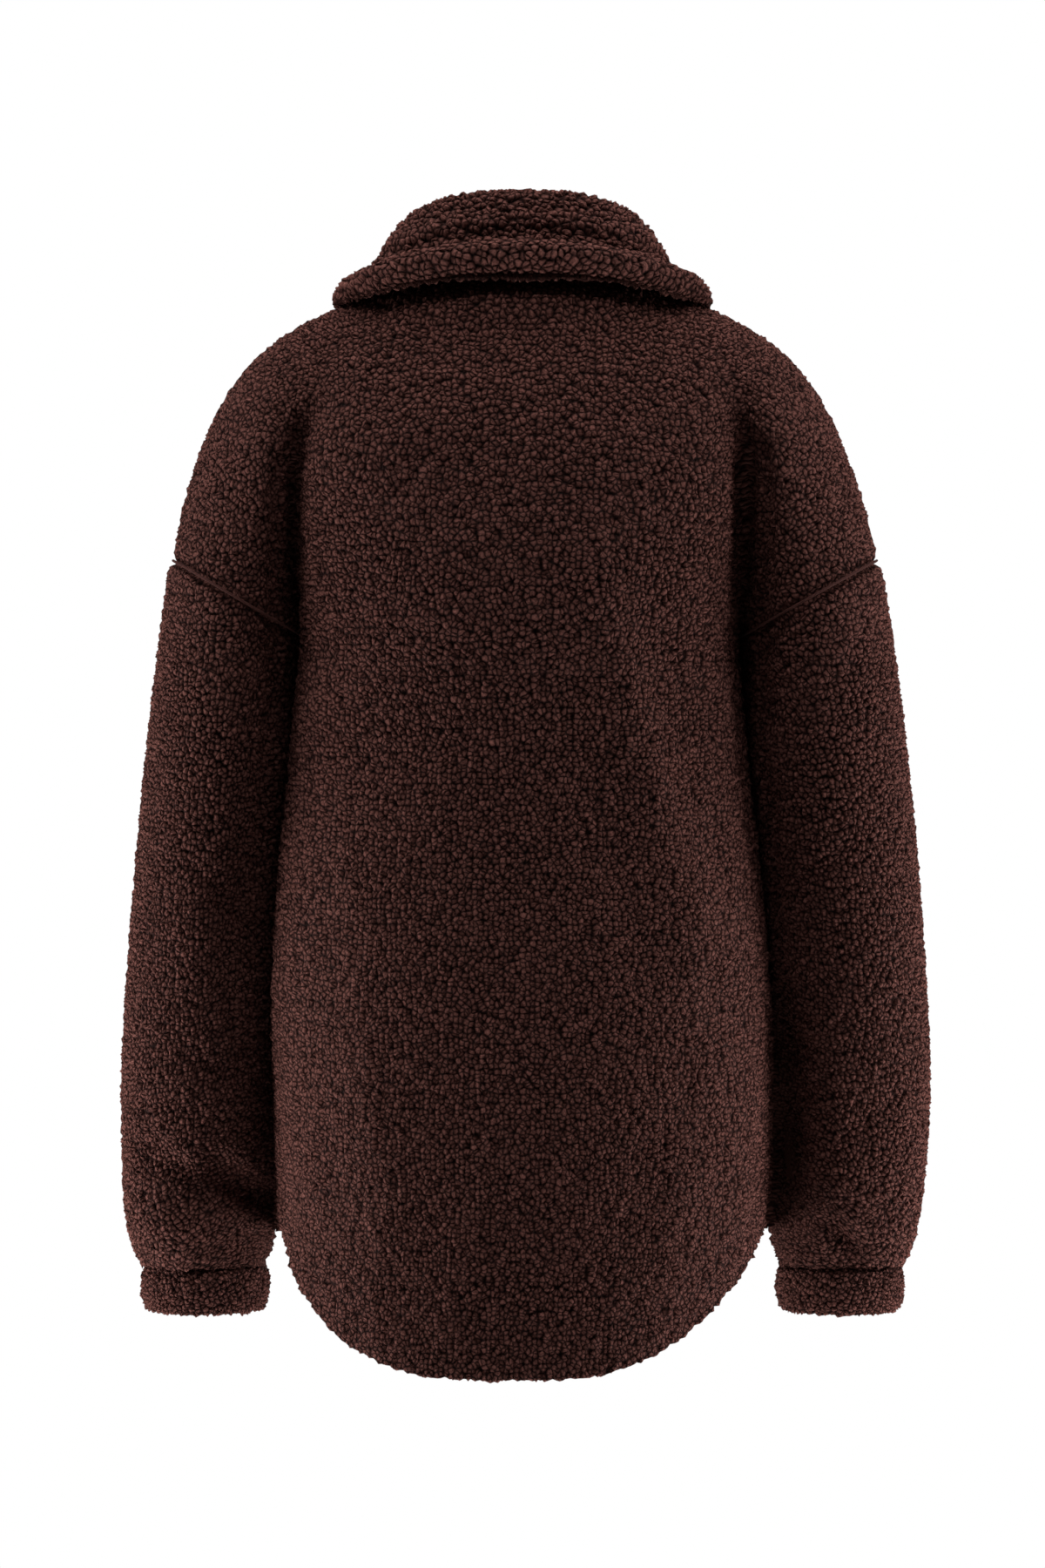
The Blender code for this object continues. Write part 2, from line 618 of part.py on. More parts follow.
def collar_mesh(shell, normals):
    """Thick folded band round the neck, open at the front."""
    cells = [ids for group in shell.cells.values() for ids in group]
    tree = BVHTree.FromPolygons([Vector(p) for p in shell.points], cells)
    neck = neckline(shell, normals)
    paths = []
    feet = []
    for angle in np.linspace(0.0, COLLAR["angle"][-1], COLLAR_STEPS + 1):
        row = np.array([np.interp(angle, neck[:, 0], neck[:, k]) for k in range(1, 7)])
        outer_foot = row[:3] + np.array([0.0, 0.0, FOOT_LIFT])
        inner_foot = outer_foot + row[3:] * COLLAR_THICK
        feet.append((outer_foot, inner_foot))
        paths.append(collar_path(tree, 0.5 * (outer_foot + inner_foot), angle))
    grid = np.array([mirrored(path) for path in paths[:0:-1]] + paths)
    feet = [(mirrored(outer), mirrored(inner)) for outer, inner in feet[:0:-1]] + feet
    outward = np.cross(np.gradient(grid, axis=1), np.gradient(grid, axis=0))
    outward /= np.linalg.norm(outward, axis=2)[:, :, None]
    shown_half = np.full(grid.shape[1], 0.5 * COLLAR_THICK)
    shown_half[-1] *= 0.6
    hidden_half = shown_half.copy()
    hidden_half[FOLD_ROWS] *= FOLD_SQUEEZE
    rings = []
    for number, (path, normal, foot) in enumerate(zip(grid, outward, feet)):
        lip = path[-1] + (path[-1] - path[-2]) / np.linalg.norm(path[-1] - path[-2]) * EDGE_ROLL
        hidden = (path + normal * hidden_half[:, None])[1:]
        shown = (path - normal * shown_half[:, None])[:0:-1]
        ring = np.array([foot[0], *hidden, lip, *shown, foot[1]])
        if number < COLLAR_STEPS:
            ring[:, 0] = np.minimum(ring[:, 0], -FRONT_PARTING)
        elif number > COLLAR_STEPS:
            ring[:, 0] = np.maximum(ring[:, 0], FRONT_PARTING)
        rings.append(ring)
    return loft_mesh(rings, False), tree


def sink_none(point):
    return 0.0


def sink_lap(point):
    """The whole lap depth: the under layer at the front."""
    return LAP_DEPTH


def sink_towards_lap(point):
    """The left front eases in beneath the top placket."""
    t = np.clip((PLACKET_HALF + LAP_REACH - point[0]) / LAP_REACH, 0.0, 1.0)
    return LAP_DEPTH * t * t * (3 - 2 * t)


def add_button(index, tree, collection):
    """Turned button standing on the placket, facing out."""
    z = BUTTON_TOP_Z - BUTTON_STEP * index
    spot, normal, _, _ = tree.ray_cast(Vector((0.0, -1.0, z)), Vector((0.0, 1.0, 0.0)))
    name = f"button_{index + 1}"
    mesh = bpy.data.meshes.new(name)
    mesh.from_pydata([(BUTTON_RADIUS * out, 0.0, BUTTON_THICK * up) for out, up in BUTTON_PROFILE],
                     [(k, k + 1) for k in range(len(BUTTON_PROFILE) - 1)], [])
    mesh.materials.append(principled(name, BUTTON_COLOUR, 0.4))
    button = bpy.data.objects.new(name, mesh)
    collection.objects.link(button)
    turned = button.modifiers.new("turned", "SCREW")
    turned.steps = BUTTON_STEPS
    turned.render_steps = BUTTON_STEPS
    turned.use_merge_vertices = True
    turned.merge_threshold = 0.00001
    turned.use_normal_calculate = True
    button.matrix_world = (Matrix.Translation(spot + normal * (SEAM_GAP + 0.0002))
                           @ normal.to_track_quat("Z", "Y").to_matrix().to_4x4())
    return button


def build_jacket():
    for old in list(bpy.data.objects):
        bpy.data.objects.remove(old, do_unlink=True)
    collection = bpy.data.collections.new("teddy_jacket")
    bpy.context.scene.collection.children.link(collection)
    shell = build_shell()
    normals = shell.normals()
    walls = {
        "back": ("back", sink_none),
        "front_left": ("front_left", sink_towards_lap),
        "front_right": ("front_right", sink_none),
        "placket_top": ("placket_top", sink_none),
        "placket_under": ("placket_top", sink_lap),
        "sleeve_left": ("sleeve_left", sink_none),
        "sleeve_right": ("sleeve_right", sink_none),
    }
    for name, (panel, sink) in walls.items():
        vertices, faces = wall_mesh(shell, normals, panel, sink)
        new_object(name, vertices, faces, principled(name, FLEECE_COLOUR, 0.95), collection)
    (vertices, faces), tree = collar_mesh(shell, normals)
    facing_out(new_object("collar", vertices, faces, principled("collar", FLEECE_COLOUR, 0.95), collection))
    for name, side in (("cuff_left", 1), ("cuff_right", -1)):
        vertices, faces = loft_mesh(cuff_rings(side), True)
        facing_out(new_object(name, vertices, faces, principled(name, FLEECE_COLOUR, 0.95), collection))
    for index in range(BUTTON_COUNT):
        add_button(index, tree, collection)


build_jacket()
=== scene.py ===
"""Teddy jacket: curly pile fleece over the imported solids, with seams, stitching and buttons.

Metres, z up. The back faces +y, the front -y, and the wearer's left is +x.
"""

import math

import bmesh
import bpy
import numpy as np
from mathutils import Matrix, Vector
from mathutils.bvhtree import BVHTree
from mathutils.kdtree import KDTree


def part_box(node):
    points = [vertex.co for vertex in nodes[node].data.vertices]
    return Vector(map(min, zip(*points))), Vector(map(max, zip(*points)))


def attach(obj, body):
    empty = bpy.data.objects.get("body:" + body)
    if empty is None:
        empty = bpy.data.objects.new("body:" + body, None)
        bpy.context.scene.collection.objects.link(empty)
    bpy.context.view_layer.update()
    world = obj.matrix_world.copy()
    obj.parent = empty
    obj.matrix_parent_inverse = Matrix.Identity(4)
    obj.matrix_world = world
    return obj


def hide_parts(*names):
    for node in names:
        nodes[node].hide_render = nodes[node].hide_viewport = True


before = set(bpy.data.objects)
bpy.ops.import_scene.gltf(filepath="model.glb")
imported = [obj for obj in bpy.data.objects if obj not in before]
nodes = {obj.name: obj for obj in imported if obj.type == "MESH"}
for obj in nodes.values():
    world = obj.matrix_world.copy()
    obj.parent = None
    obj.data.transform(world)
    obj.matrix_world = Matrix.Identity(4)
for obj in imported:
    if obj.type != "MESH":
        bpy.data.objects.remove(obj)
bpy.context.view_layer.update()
BODY = "root"

# Cloth pieces: the way each one faces, its longest pile edge, and its cut: width, length, area
CLOTH = {
    "back": ((0, 1, 0), 0.0041, (0.60, 0.76), 0.374),
    "front_left": ((0, -1, 0), 0.0038, (0.30, 0.72), 0.172),
    "front_right": ((0, -1, 0), 0.0038, (0.30, 0.72), 0.172),
    "placket_top": ((0, -1, 0), 0.0027, (0.042, 0.66), 0.0275),
    "placket_under": ((0, -1, 0), 0.0040, (0.042, 0.66), 0.0275),
    "sleeve_left": ((1, 0, 0), 0.0034, (0.42, 0.50), 0.170),
    "sleeve_right": ((-1, 0, 0), 0.0034, (0.42, 0.50), 0.170),
    "collar": ((0, 1, 0), 0.0032, (0.56, 0.145), 0.070),
    "cuff_left": ((0, 0, -1), 0.0027, (0.24, 0.040), 0.0090),
    "cuff_right": ((0, 0, -1), 0.0027, (0.24, 0.040), 0.0090),
}
WRAPPED = ("collar", "cuff_left", "cuff_right")
CREASED = ("back", "front_left", "front_right", "sleeve_left", "sleeve_right")
SLEEVES = ("sleeve_left", "sleeve_right")
SHARP = math.radians(52)
SEAM_NEAR = 0.0012
WALL_MERGE = 0.00002
SMOOTH_LEVELS = 2
SPLIT_ROUNDS = 4

# Flat cut: the underarm seam runs this steeply down, and a cuff opens near its inner side and top
UNDERARM_STEEP = 0.6
CUFF_LINE = 0.001
CUFF_SIDE = 0.02
CUFF_TOP = 0.0005
UNWRAP_ROUNDS = 60
UNWRAP_MARGIN = 0.01

# Curls: cell size by height, how far they stand, and how much the cells bend. A curl is a dome cut
# off by the gap round it, with smaller lobes on it, and some curls stand higher than others
CURL_TOP = 0.0042
CURL_LOW = 0.0031
CURL_TOP_Z = 0.02
CURL_LOW_Z = -0.62
CURL_HEIGHT = 0.0040
CURL_ROOT = 0.45
CURL_BEND = 0.90
CURL_BEND_SCALE = 0.6
CURL_RANDOM = 0.9
CURL_DOME = 1.5
CURL_DOME_SHARE = 0.74
CURL_GAP = 0.20
CURL_GAP_POWER = 0.6
LOBE_SCALE = 2.3
LOBE_DOME = 1.4
LOBE_SHARE = 0.26
STAND_LEAST = 0.7
STAND_MORE = 0.5

# Seams: pile is pressed and sinks beside them, most of all beside the dropped shoulder seam
ARMHOLE_LOW_Z = -0.30
ARMHOLE_STEPS = 10
ARMHOLE_PRESS = 0.0032
ARMHOLE_FLATTEN = 0.80
ARMHOLE_SINK = 0.0016
ARMHOLE_FADE_X = 0.158
ARMHOLE_FADE = 0.012
SEAM_PRESS = 0.0034
SEAM_REACH = 3.0 * SEAM_PRESS
SEAM_FLATTEN = 0.45
SEAM_SINK = 0.0006
CORD_RADIUS = 0.0009
CORD_LIFT = 0.0007
CORD_STEPS = 6
CORD_MERGE = 0.00001

# Where body and sleeve face each other this closely, deep inside, they touch
SLOT_START = 0.0006
SLOT_REACH = 0.009
SLOT_DEPTH_Y = -0.028
SLOT_DEPTH_HALF = 0.022
SLOT_EASE = 2.5

# Collar: the roll of the leaf, a hollow above it, and the shaded part turning under below it
RIDGE_Z = 0.0150
RIDGE_FALL = 1.2
RIDGE_HEIGHT = 0.0050
RIDGE_ABOVE = 0.0055
RIDGE_BELOW = 0.0120
HOLLOW_UP = 0.0120
HOLLOW_DEPTH = 0.0065
HOLLOW_WIDTH = 0.0065
TUCK_DOWN = 0.021
TUCK_DEPTH = 0.0065
TUCK_WIDTH = 0.009
LEAF_FRONT_Y = -0.01
LEAF_FADE = 0.04
LEAF_EASE = 3.0
NECK_Y = 0.02

# Creases: face (1 back, -1 front), start x and z, end x and z, height (below 0 sinks), width
CREASES = (
    (1, -0.0750, -0.022, 0.0750, -0.022, 0.0105, 0.0150),
    (1, -0.1575, -0.120, -0.1590, -0.300, -0.0095, 0.0085),
    (1, -0.1600, -0.290, -0.1680, -0.460, -0.0080, 0.0080),
    (1, -0.1690, -0.450, -0.1740, -0.620, -0.0070, 0.0075),
    (1, 0.1570, -0.125, 0.1600, -0.300, -0.0055, 0.0085),
    (1, 0.1610, -0.290, 0.1690, -0.460, -0.0050, 0.0080),
    (1, 0.1700, -0.450, 0.1760, -0.620, -0.0050, 0.0075),
    (1, -0.1380, -0.115, -0.1400, -0.320, 0.0030, 0.0070),
    (1, 0.1370, -0.115, 0.1400, -0.320, 0.0025, 0.0070),
    (1, -0.048, -0.190, -0.128, -0.462, 0.0034, 0.016),
    (1, -0.078, -0.248, -0.126, -0.420, -0.0026, 0.018),
    (1, -0.030, -0.270, -0.082, -0.470, -0.0020, 0.020),
    (1, 0.020, -0.300, 0.134, -0.335, -0.0026, 0.018),
    (1, 0.070, -0.180, 0.130, -0.250, -0.0024, 0.016),
    (1, 0.052, -0.100, 0.118, -0.130, 0.0022, 0.018),
    (1, -0.060, -0.085, -0.120, -0.125, -0.0020, 0.018),
    (1, -0.010, -0.420, 0.060, -0.560, -0.0022, 0.024),
    (1, -0.118, -0.520, -0.062, -0.660, -0.0026, 0.020),
    (1, 0.118, -0.500, 0.088, -0.640, 0.0024, 0.018),
    (1, 0.030, -0.600, 0.052, -0.715, 0.0020, 0.016),
    (1, 0.222, -0.398, 0.176, -0.446, -0.0034, 0.009),
    (1, 0.238, -0.520, 0.186, -0.552, -0.0026, 0.010),
    (1, 0.250, -0.588, 0.188, -0.646, -0.0078, 0.010),
    (1, 0.262, -0.570, 0.224, -0.602, 0.0040, 0.011),
    (1, -0.183, -0.510, -0.186, -0.640, -0.0055, 0.010),
    (1, -0.198, -0.520, -0.196, -0.622, 0.0030, 0.009),
    (1, -0.206, -0.640, -0.224, -0.664, -0.0060, 0.009),
    (1, -0.236, -0.380, -0.184, -0.410, -0.0028, 0.011),
    (1, -0.248, -0.560, -0.214, -0.590, -0.0026, 0.010),
    (-1, 0.036, -0.330, 0.128, -0.452, -0.0036, 0.018),
    (-1, 0.050, -0.190, 0.124, -0.262, -0.0026, 0.016),
    (-1, -0.042, -0.290, -0.126, -0.420, -0.0042, 0.016),
    (-1, -0.064, -0.190, -0.124, -0.240, 0.0026, 0.016),
    (-1, 0.082, -0.520, 0.062, -0.650, 0.0024, 0.018),
    (-1, -0.092, -0.500, -0.058, -0.640, -0.0028, 0.018),
    (-1, 0.238, -0.400, 0.182, -0.440, -0.0034, 0.010),
    (-1, -0.236, -0.380, -0.180, -0.428, -0.0034, 0.010),
    (-1, 0.246, -0.580, 0.190, -0.636, -0.0044, 0.010),
    (-1, -0.250, -0.575, -0.186, -0.630, -0.0044, 0.010),
)
CREASE_FACING = 0.25
CREASE_END = 0.55

# Pile never sinks further than this, so that it stays off the reverse of its own wall
SINK_MOST = 0.0052

# Deep folds low on the sleeves, where the whole wall is pushed in towards the front. Each row holds
# where it starts, across and up, where it ends, how deep it is and how wide to each side
FOLDS = (
    (-0.1700, -0.490, -0.1880, -0.560, 0.022, 0.012),
    (-0.1840, -0.560, -0.1780, -0.628, 0.038, 0.017),
    (0.2080, -0.604, 0.1680, -0.640, 0.024, 0.012),
)
FOLD_FRONT_Y = -0.060
FOLD_FADE = 0.055

# Dark gap between body and arm, seen from behind: height, its place off the centre line, how far it
# lies further out on the wearer's left, and how much wider it is at each side than on the solids
GAP_ROWS = (
    (-0.095, 0.150, 0.0000, 0.0000, 0.0000),
    (-0.133, 0.150, 0.0040, 0.0020, 0.0050),
    (-0.203, 0.149, 0.0065, 0.0020, 0.0050),
    (-0.238, 0.150, 0.0080, 0.0012, 0.0036),
    (-0.307, 0.152, 0.0095, 0.0004, 0.0018),
    (-0.377, 0.160, 0.0095, 0.0010, 0.0026),
    (-0.412, 0.164, 0.0095, 0.0026, 0.0032),
    (-0.481, 0.169, 0.0060, 0.0006, 0.0022),
    (-0.551, 0.172, 0.0012, 0.0024, 0.0050),
    (-0.600, 0.172, 0.0000, 0.0060, 0.0085),
    (-0.630, 0.171, 0.0000, 0.0080, 0.0110),
    (-0.655, 0.170, 0.0000, 0.0030, 0.0040),
    (-0.680, 0.170, 0.0000, 0.0000, 0.0000),
)
GAP_MOVE_REACH = 0.032
GAP_WIDEN_REACH = 0.015
GAP_FRONT_Y = 0.004
GAP_FADE = 0.040
GAP_EDGE = 0.002

# Placket: two rows of stitches, buttons and their vertical buttonholes, laid on from in front
BEFORE_PLACKET_Y = -0.4
STITCH_ROWS = (-0.0145, 0.0145)
STITCH_STEP = 0.0046
STITCH_HALF = 0.0017
THREAD_RADIUS = 0.00038
STITCH_LIFT = 0.0001
STITCH_PRESS = 0.0026
STITCH_FLATTEN = 0.8
STITCH_SINK = 0.0009
FRONT_FACING = -0.3
PLACKET_INSET = 0.008
BUTTON_RADIUS = 0.010
BUTTON_THICK = 0.0036
BUTTON_COUNT = 6
BUTTON_DISH = 0.66
BUTTON_PROFILE = (
    (0.0, BUTTON_DISH), (0.42, 0.62), (0.60, 0.68), (0.70, 0.86), (0.78, 0.97), (0.86, 1.0), (0.94, 0.94),
    (0.985, 0.78), (1.0, 0.58), (0.985, 0.30), (0.93, 0.10), (0.84, 0.0), (0.0, 0.0),
)
BUTTON_STEPS = 56
BUTTON_MERGE = 0.000005
BUTTON_NODES = ["button_%d" % number for number in range(1, BUTTON_COUNT + 1)]
HOLE_PLACE = 0.0021
HOLE_RADIUS = 0.0009
HOLE_SEGMENTS = 20
STRAND_RADIUS = 0.00030
STRAND_APART = 0.0004
STRAND_OVER = 0.0003
STRAND_LIFT = 0.0001
BUTTON_PRESS = 0.014
BUTTON_FLATTEN = 0.75
BUTTON_SINK = 0.0006
BUTTONHOLE_HALF = 0.0135
BUTTONHOLE_WIDE = 0.0014
BUTTONHOLE_POINTS = 28
BUTTONHOLE_THREAD = 0.0008
BUTTONHOLE_LIFT = 0.0002


def opaque(red, green, blue):
    """A colour as the sockets take it."""
    return (red, green, blue, 1.0)


# Colours, with a painted highlight for the curl tips, and how the pile's painted shade deepens from a curl's
# tip to the gap beside it
FLEECE_BROWN = opaque(0.036, 0.0117, 0.0092)
FLEECE_RED = opaque(0.047, 0.0138, 0.0110)
# Painted highlight: the light reddish colour laid on the high tops of the curls
PAINTED_TIP_HIGHLIGHT = opaque(0.250, 0.102, 0.083)
THREAD_DARK = opaque(0.018, 0.0062, 0.0050)
THREAD_BROWN = opaque(0.060, 0.0205, 0.0165)
BUTTON_BROWN = opaque(0.016, 0.0065, 0.0045)
BUTTON_SWIRL = opaque(0.040, 0.0165, 0.0105)
SHEEN_RED = opaque(0.80, 0.32, 0.26)
BLACK = opaque(0.0, 0.0, 0.0)
WHITE = opaque(1.0, 1.0, 1.0)
PALE = opaque(0.90, 0.90, 0.90)
# Painted shade: near black in the low gaps between curls, rising to full colour on their tops
PILE_SHADE = ((0.36, opaque(0.012, 0.008, 0.008)), (0.62, opaque(0.28, 0.24, 0.24)), (0.98, WHITE))
TIP_HIGHLIGHT_SHARE = 0.9
FIBRE_SHADE = 0.30
PATCH_SHADE = 0.16
TONE_SHADE = 0.10
TWIST_SHARE = 0.6
FUZZ_SHARE = 0.5
SWIRL_EDGES = ((0.38, BLACK), (0.62, WHITE))
BUTTON_ROUGH = 0.32
WEAR_ROUGHER = 0.25

# Studio: lights with their place, power and size, the light all round, the floor and the camera
LIGHTS = (
    ("side_left", (1.35, 0.10, -1.00), 36.0, 0.9),
    ("side_right", (-1.35, 0.10, -1.00), 36.0, 0.9),
    ("top", (0.0, 0.50, 1.9), 76.0, 1.6),
    ("front_fill", (0.0, -2.6, 0.4), 45.0, 2.0),
)
LIGHT_AIM = (0.0, 0.0, -0.35)
AMBIENT = 0.06
FLOOR_Z = -1.35
FLOOR_RADIUS = 1.3
CAMERA_PLACE = (0.0, 3.15, -0.342)
CAMERA_LENS = 105.0
CAMERA_SENSOR = 36.0


# Node trees
def math_node(tree, operation, first, second=None, third=None, clamp=False):
    """The result of a sum on numbers or sockets."""
    node = tree.nodes.new("ShaderNodeMath")
    node.operation = operation
    node.use_clamp = clamp
    for socket, value in zip(node.inputs, (first, second, third)):
        if value is None:
            continue
        if isinstance(value, (int, float)):
            socket.default_value = value
        else:
            tree.links.new(value, socket)
    return node.outputs[0]


def vector_node(tree, operation, first, second):
    """A sum on two vectors, each one three numbers or a socket."""
    node = tree.nodes.new("ShaderNodeVectorMath")
    node.operation = operation
    for socket, value in zip(node.inputs, (first, second)):
        if isinstance(value, (tuple, list)):
            socket.default_value = value
        else:
            tree.links.new(value, socket)
    return node


def scaled(tree, vector, factor):
    """A vector made longer or shorter by a number or a socket."""
    node = tree.nodes.new("ShaderNodeVectorMath")
    node.operation = "SCALE"
    tree.links.new(vector, node.inputs[0])
    if isinstance(factor, (int, float)):
        node.inputs["Scale"].default_value = factor
    else:
        tree.links.new(factor, node.inputs["Scale"])
    return node.outputs[0]


def noise(tree, vector, scale, detail=2.0, roughness=0.5):
    """Soft uneven noise at a place."""
    node = tree.nodes.new("ShaderNodeTexNoise")
    node.inputs["Scale"].default_value = scale
    node.inputs["Detail"].default_value = detail
    node.inputs["Roughness"].default_value = roughness
    tree.links.new(vector, node.inputs["Vector"])
    return node


def voronoi(tree, place, feature, scale, randomness):
    """Flat cells at a place, by their middles or their borders."""
    node = tree.nodes.new("ShaderNodeTexVoronoi")
    node.voronoi_dimensions = "2D"
    node.feature = feature
    node.inputs["Scale"].default_value = scale
    node.inputs["Randomness"].default_value = randomness
    tree.links.new(place, node.inputs["Vector"])
    return node


def curl_field(tree, place):
    """Curly pile at a place in cell units: its height from 0 to 1, and a tone for each curl."""
    bend = noise(tree, place, CURL_BEND_SCALE, detail=1.0)
    centred = vector_node(tree, "SUBTRACT", bend.outputs["Color"], (0.5, 0.5, 0.5)).outputs[0]
    bent = vector_node(tree, "ADD", place, scaled(tree, centred, CURL_BEND)).outputs[0]
    curl = voronoi(tree, bent, "F1", 1.0, CURL_RANDOM)
    border = voronoi(tree, bent, "DISTANCE_TO_EDGE", 1.0, CURL_RANDOM)
    lobe = voronoi(tree, bent, "F1", LOBE_SCALE, 1.0)
    dome = math_node(tree, "POWER", curl.outputs["Distance"], 2.0)
    dome = math_node(tree, "MULTIPLY_ADD", dome, -CURL_DOME, 1.0, clamp=True)
    gap = math_node(tree, "DIVIDE", border.outputs["Distance"], CURL_GAP, clamp=True)
    gap = math_node(tree, "POWER", gap, CURL_GAP_POWER)
    lobes = math_node(tree, "POWER", lobe.outputs["Distance"], 2.0)
    lobes = math_node(tree, "MULTIPLY_ADD", lobes, -LOBE_DOME, 1.0, clamp=True)
    height = math_node(tree, "MULTIPLY", dome, gap)
    height = math_node(tree, "MULTIPLY", height, CURL_DOME_SHARE)
    height = math_node(tree, "MULTIPLY_ADD", lobes, LOBE_SHARE, height)
    parts = tree.nodes.new("ShaderNodeSeparateXYZ")
    tree.links.new(curl.outputs["Color"], parts.inputs[0])
    stand = math_node(tree, "MULTIPLY_ADD", parts.outputs[0], STAND_MORE, STAND_LEAST)
    return math_node(tree, "MULTIPLY", height, stand), curl.outputs["Color"]


def new_material(name):
    """A new material, its node tree and its shader."""
    material = bpy.data.materials.new(name)
    material.use_nodes = True
    return material, material.node_tree, material.node_tree.nodes["Principled BSDF"]


def attribute(tree, name, output):
    """What a piece's own attribute says at a point."""
    node = tree.nodes.new("ShaderNodeAttribute")
    node.attribute_name = name
    return node.outputs[output]


def ramp(tree, factor, stops):
    """A colour read off a scale of stops."""
    node = tree.nodes.new("ShaderNodeValToRGB")
    elements = node.color_ramp.elements
    while len(elements) < len(stops):
        elements.new(0.5)
    for element, (position, colour) in zip(elements, stops):
        element.position = position
        element.color = colour
    tree.links.new(factor, node.inputs["Fac"])
    return node.outputs["Color"]


def mixed(tree, factor, first, second, blend="MIX"):
    """Two colours mixed, each one given or from a socket."""
    node = tree.nodes.new("ShaderNodeMix")
    node.data_type = "RGBA"
    node.blend_type = blend
    for socket, value in zip((node.inputs[0], node.inputs[6], node.inputs[7]), (factor, first, second)):
        if isinstance(value, (int, float, tuple)):
            socket.default_value = value
        else:
            tree.links.new(value, socket)
    return node.outputs[2]


def bump(tree, height, distance, strength, before=None):
    """Fine relief from a height, over any relief made before it."""
    node = tree.nodes.new("ShaderNodeBump")
    node.inputs["Distance"].default_value = distance
    node.inputs["Strength"].default_value = strength
    tree.links.new(height, node.inputs["Height"])
    if before is not None:
        tree.links.new(before, node.inputs["Normal"])
    return node.outputs["Normal"]


def waves(tree, place, direction, scale, distortion):
    """Even bands at a place."""
    node = tree.nodes.new("ShaderNodeTexWave")
    node.bands_direction = direction
    node.inputs["Scale"].default_value = scale
    node.inputs["Distortion"].default_value = distortion
    tree.links.new(place, node.inputs["Vector"])
    return node.outputs["Fac"]


# Materials
def pile_material():
    """Dark brown curls, with painted shade near black in the gaps between them and a painted reddish
    highlight on their tips.
    """
    material, tree, shader = new_material("curly_pile")
    place = attribute(tree, "curl_place", "Vector")
    height, tone = curl_field(tree, place)
    fibre = noise(tree, place, scale=5.0, detail=3.0, roughness=0.7).outputs["Fac"]
    patch = noise(tree, place, scale=0.07).outputs["Fac"]
    tones = tree.nodes.new("ShaderNodeSeparateColor")
    tree.links.new(tone, tones.inputs[0])
    body = mixed(tree, tones.outputs[0], FLEECE_BROWN, FLEECE_RED)
    # Painted highlight: fibre noise on the highest parts of each curl mixes in the light tip colour
    tip = math_node(tree, "MULTIPLY", fibre, TIP_HIGHLIGHT_SHARE)
    body = mixed(tree, math_node(tree, "MULTIPLY", tip, height), body, PAINTED_TIP_HIGHLIGHT)
    # Painted shade, set mostly by curl height, plus real random tone from fibre, patches and each curl, read
    # off the shade scale and multiplied in
    depth = math_node(tree, "MULTIPLY_ADD", fibre, FIBRE_SHADE, height)
    depth = math_node(tree, "MULTIPLY_ADD", patch, PATCH_SHADE, depth)
    depth = math_node(tree, "MULTIPLY_ADD", tones.outputs[1], TONE_SHADE, depth)
    colour = mixed(tree, 1.0, body, ramp(tree, depth, PILE_SHADE), "MULTIPLY")
    tree.links.new(colour, shader.inputs["Base Color"])
    shader.inputs["Roughness"].default_value = 0.85
    shader.inputs["Specular IOR Level"].default_value = 0.06
    shader.inputs["Sheen Weight"].default_value = 0.10
    shader.inputs["Sheen Roughness"].default_value = 0.5
    shader.inputs["Sheen Tint"].default_value = SHEEN_RED
    coarse = bump(tree, height, distance=0.0045, strength=1.0)
    fine = bump(tree, fibre, distance=0.0007, strength=0.9, before=coarse)
    tree.links.new(fine, shader.inputs["Normal"])
    return material


def thread_material():
    """Twisted thread, a little lighter and smoother than the pile."""
    material, tree, shader = new_material("thread")
    place = tree.nodes.new("ShaderNodeTexCoord").outputs["Object"]
    twist = waves(tree, place, "DIAGONAL", 420.0, 1.0)
    fuzz = noise(tree, place, scale=1400.0).outputs["Fac"]
    strands = math_node(tree, "MULTIPLY", twist, TWIST_SHARE)
    tone = math_node(tree, "MULTIPLY_ADD", fuzz, FUZZ_SHARE, strands)
    tree.links.new(mixed(tree, tone, THREAD_DARK, THREAD_BROWN), shader.inputs["Base Color"])
    shader.inputs["Roughness"].default_value = 0.85
    shader.inputs["Specular IOR Level"].default_value = 0.1
    tree.links.new(bump(tree, twist, distance=0.0002, strength=0.6), shader.inputs["Normal"])
    return material


def button_material():
    """Dull dark brown plastic with a faint swirl and fine scratches."""
    material, tree, shader = new_material("button_plastic")
    place = tree.nodes.new("ShaderNodeTexCoord").outputs["Object"]
    swirl = noise(tree, place, scale=120.0, detail=3.0, roughness=0.6)
    swirl.inputs["Distortion"].default_value = 2.2
    wear = noise(tree, place, scale=900.0).outputs["Fac"]
    bands = ramp(tree, swirl.outputs["Fac"], SWIRL_EDGES)
    tree.links.new(mixed(tree, bands, BUTTON_BROWN, BUTTON_SWIRL), shader.inputs["Base Color"])
    shader.inputs["Specular IOR Level"].default_value = 0.35
    rough = math_node(tree, "MULTIPLY_ADD", wear, WEAR_ROUGHER, BUTTON_ROUGH)
    tree.links.new(rough, shader.inputs["Roughness"])
    tree.links.new(bump(tree, wear, distance=0.0001, strength=0.15), shader.inputs["Normal"])
    return material


# Objects and meshes
def placed(name, data):
    """A new object with this mesh, curve, light or camera, in the scene."""
    item = bpy.data.objects.new(name, data)
    bpy.context.scene.collection.objects.link(item)
    return item


def finished_mesh(item):
    """An object's mesh with its modifiers applied."""
    return bpy.data.meshes.new_from_object(item.evaluated_get(bpy.context.evaluated_depsgraph_get()))


def mesh_from(name, work):
    """A mesh from a bmesh, which is then freed."""
    mesh = bpy.data.meshes.new(name)
    work.to_mesh(mesh)
    work.free()
    return mesh


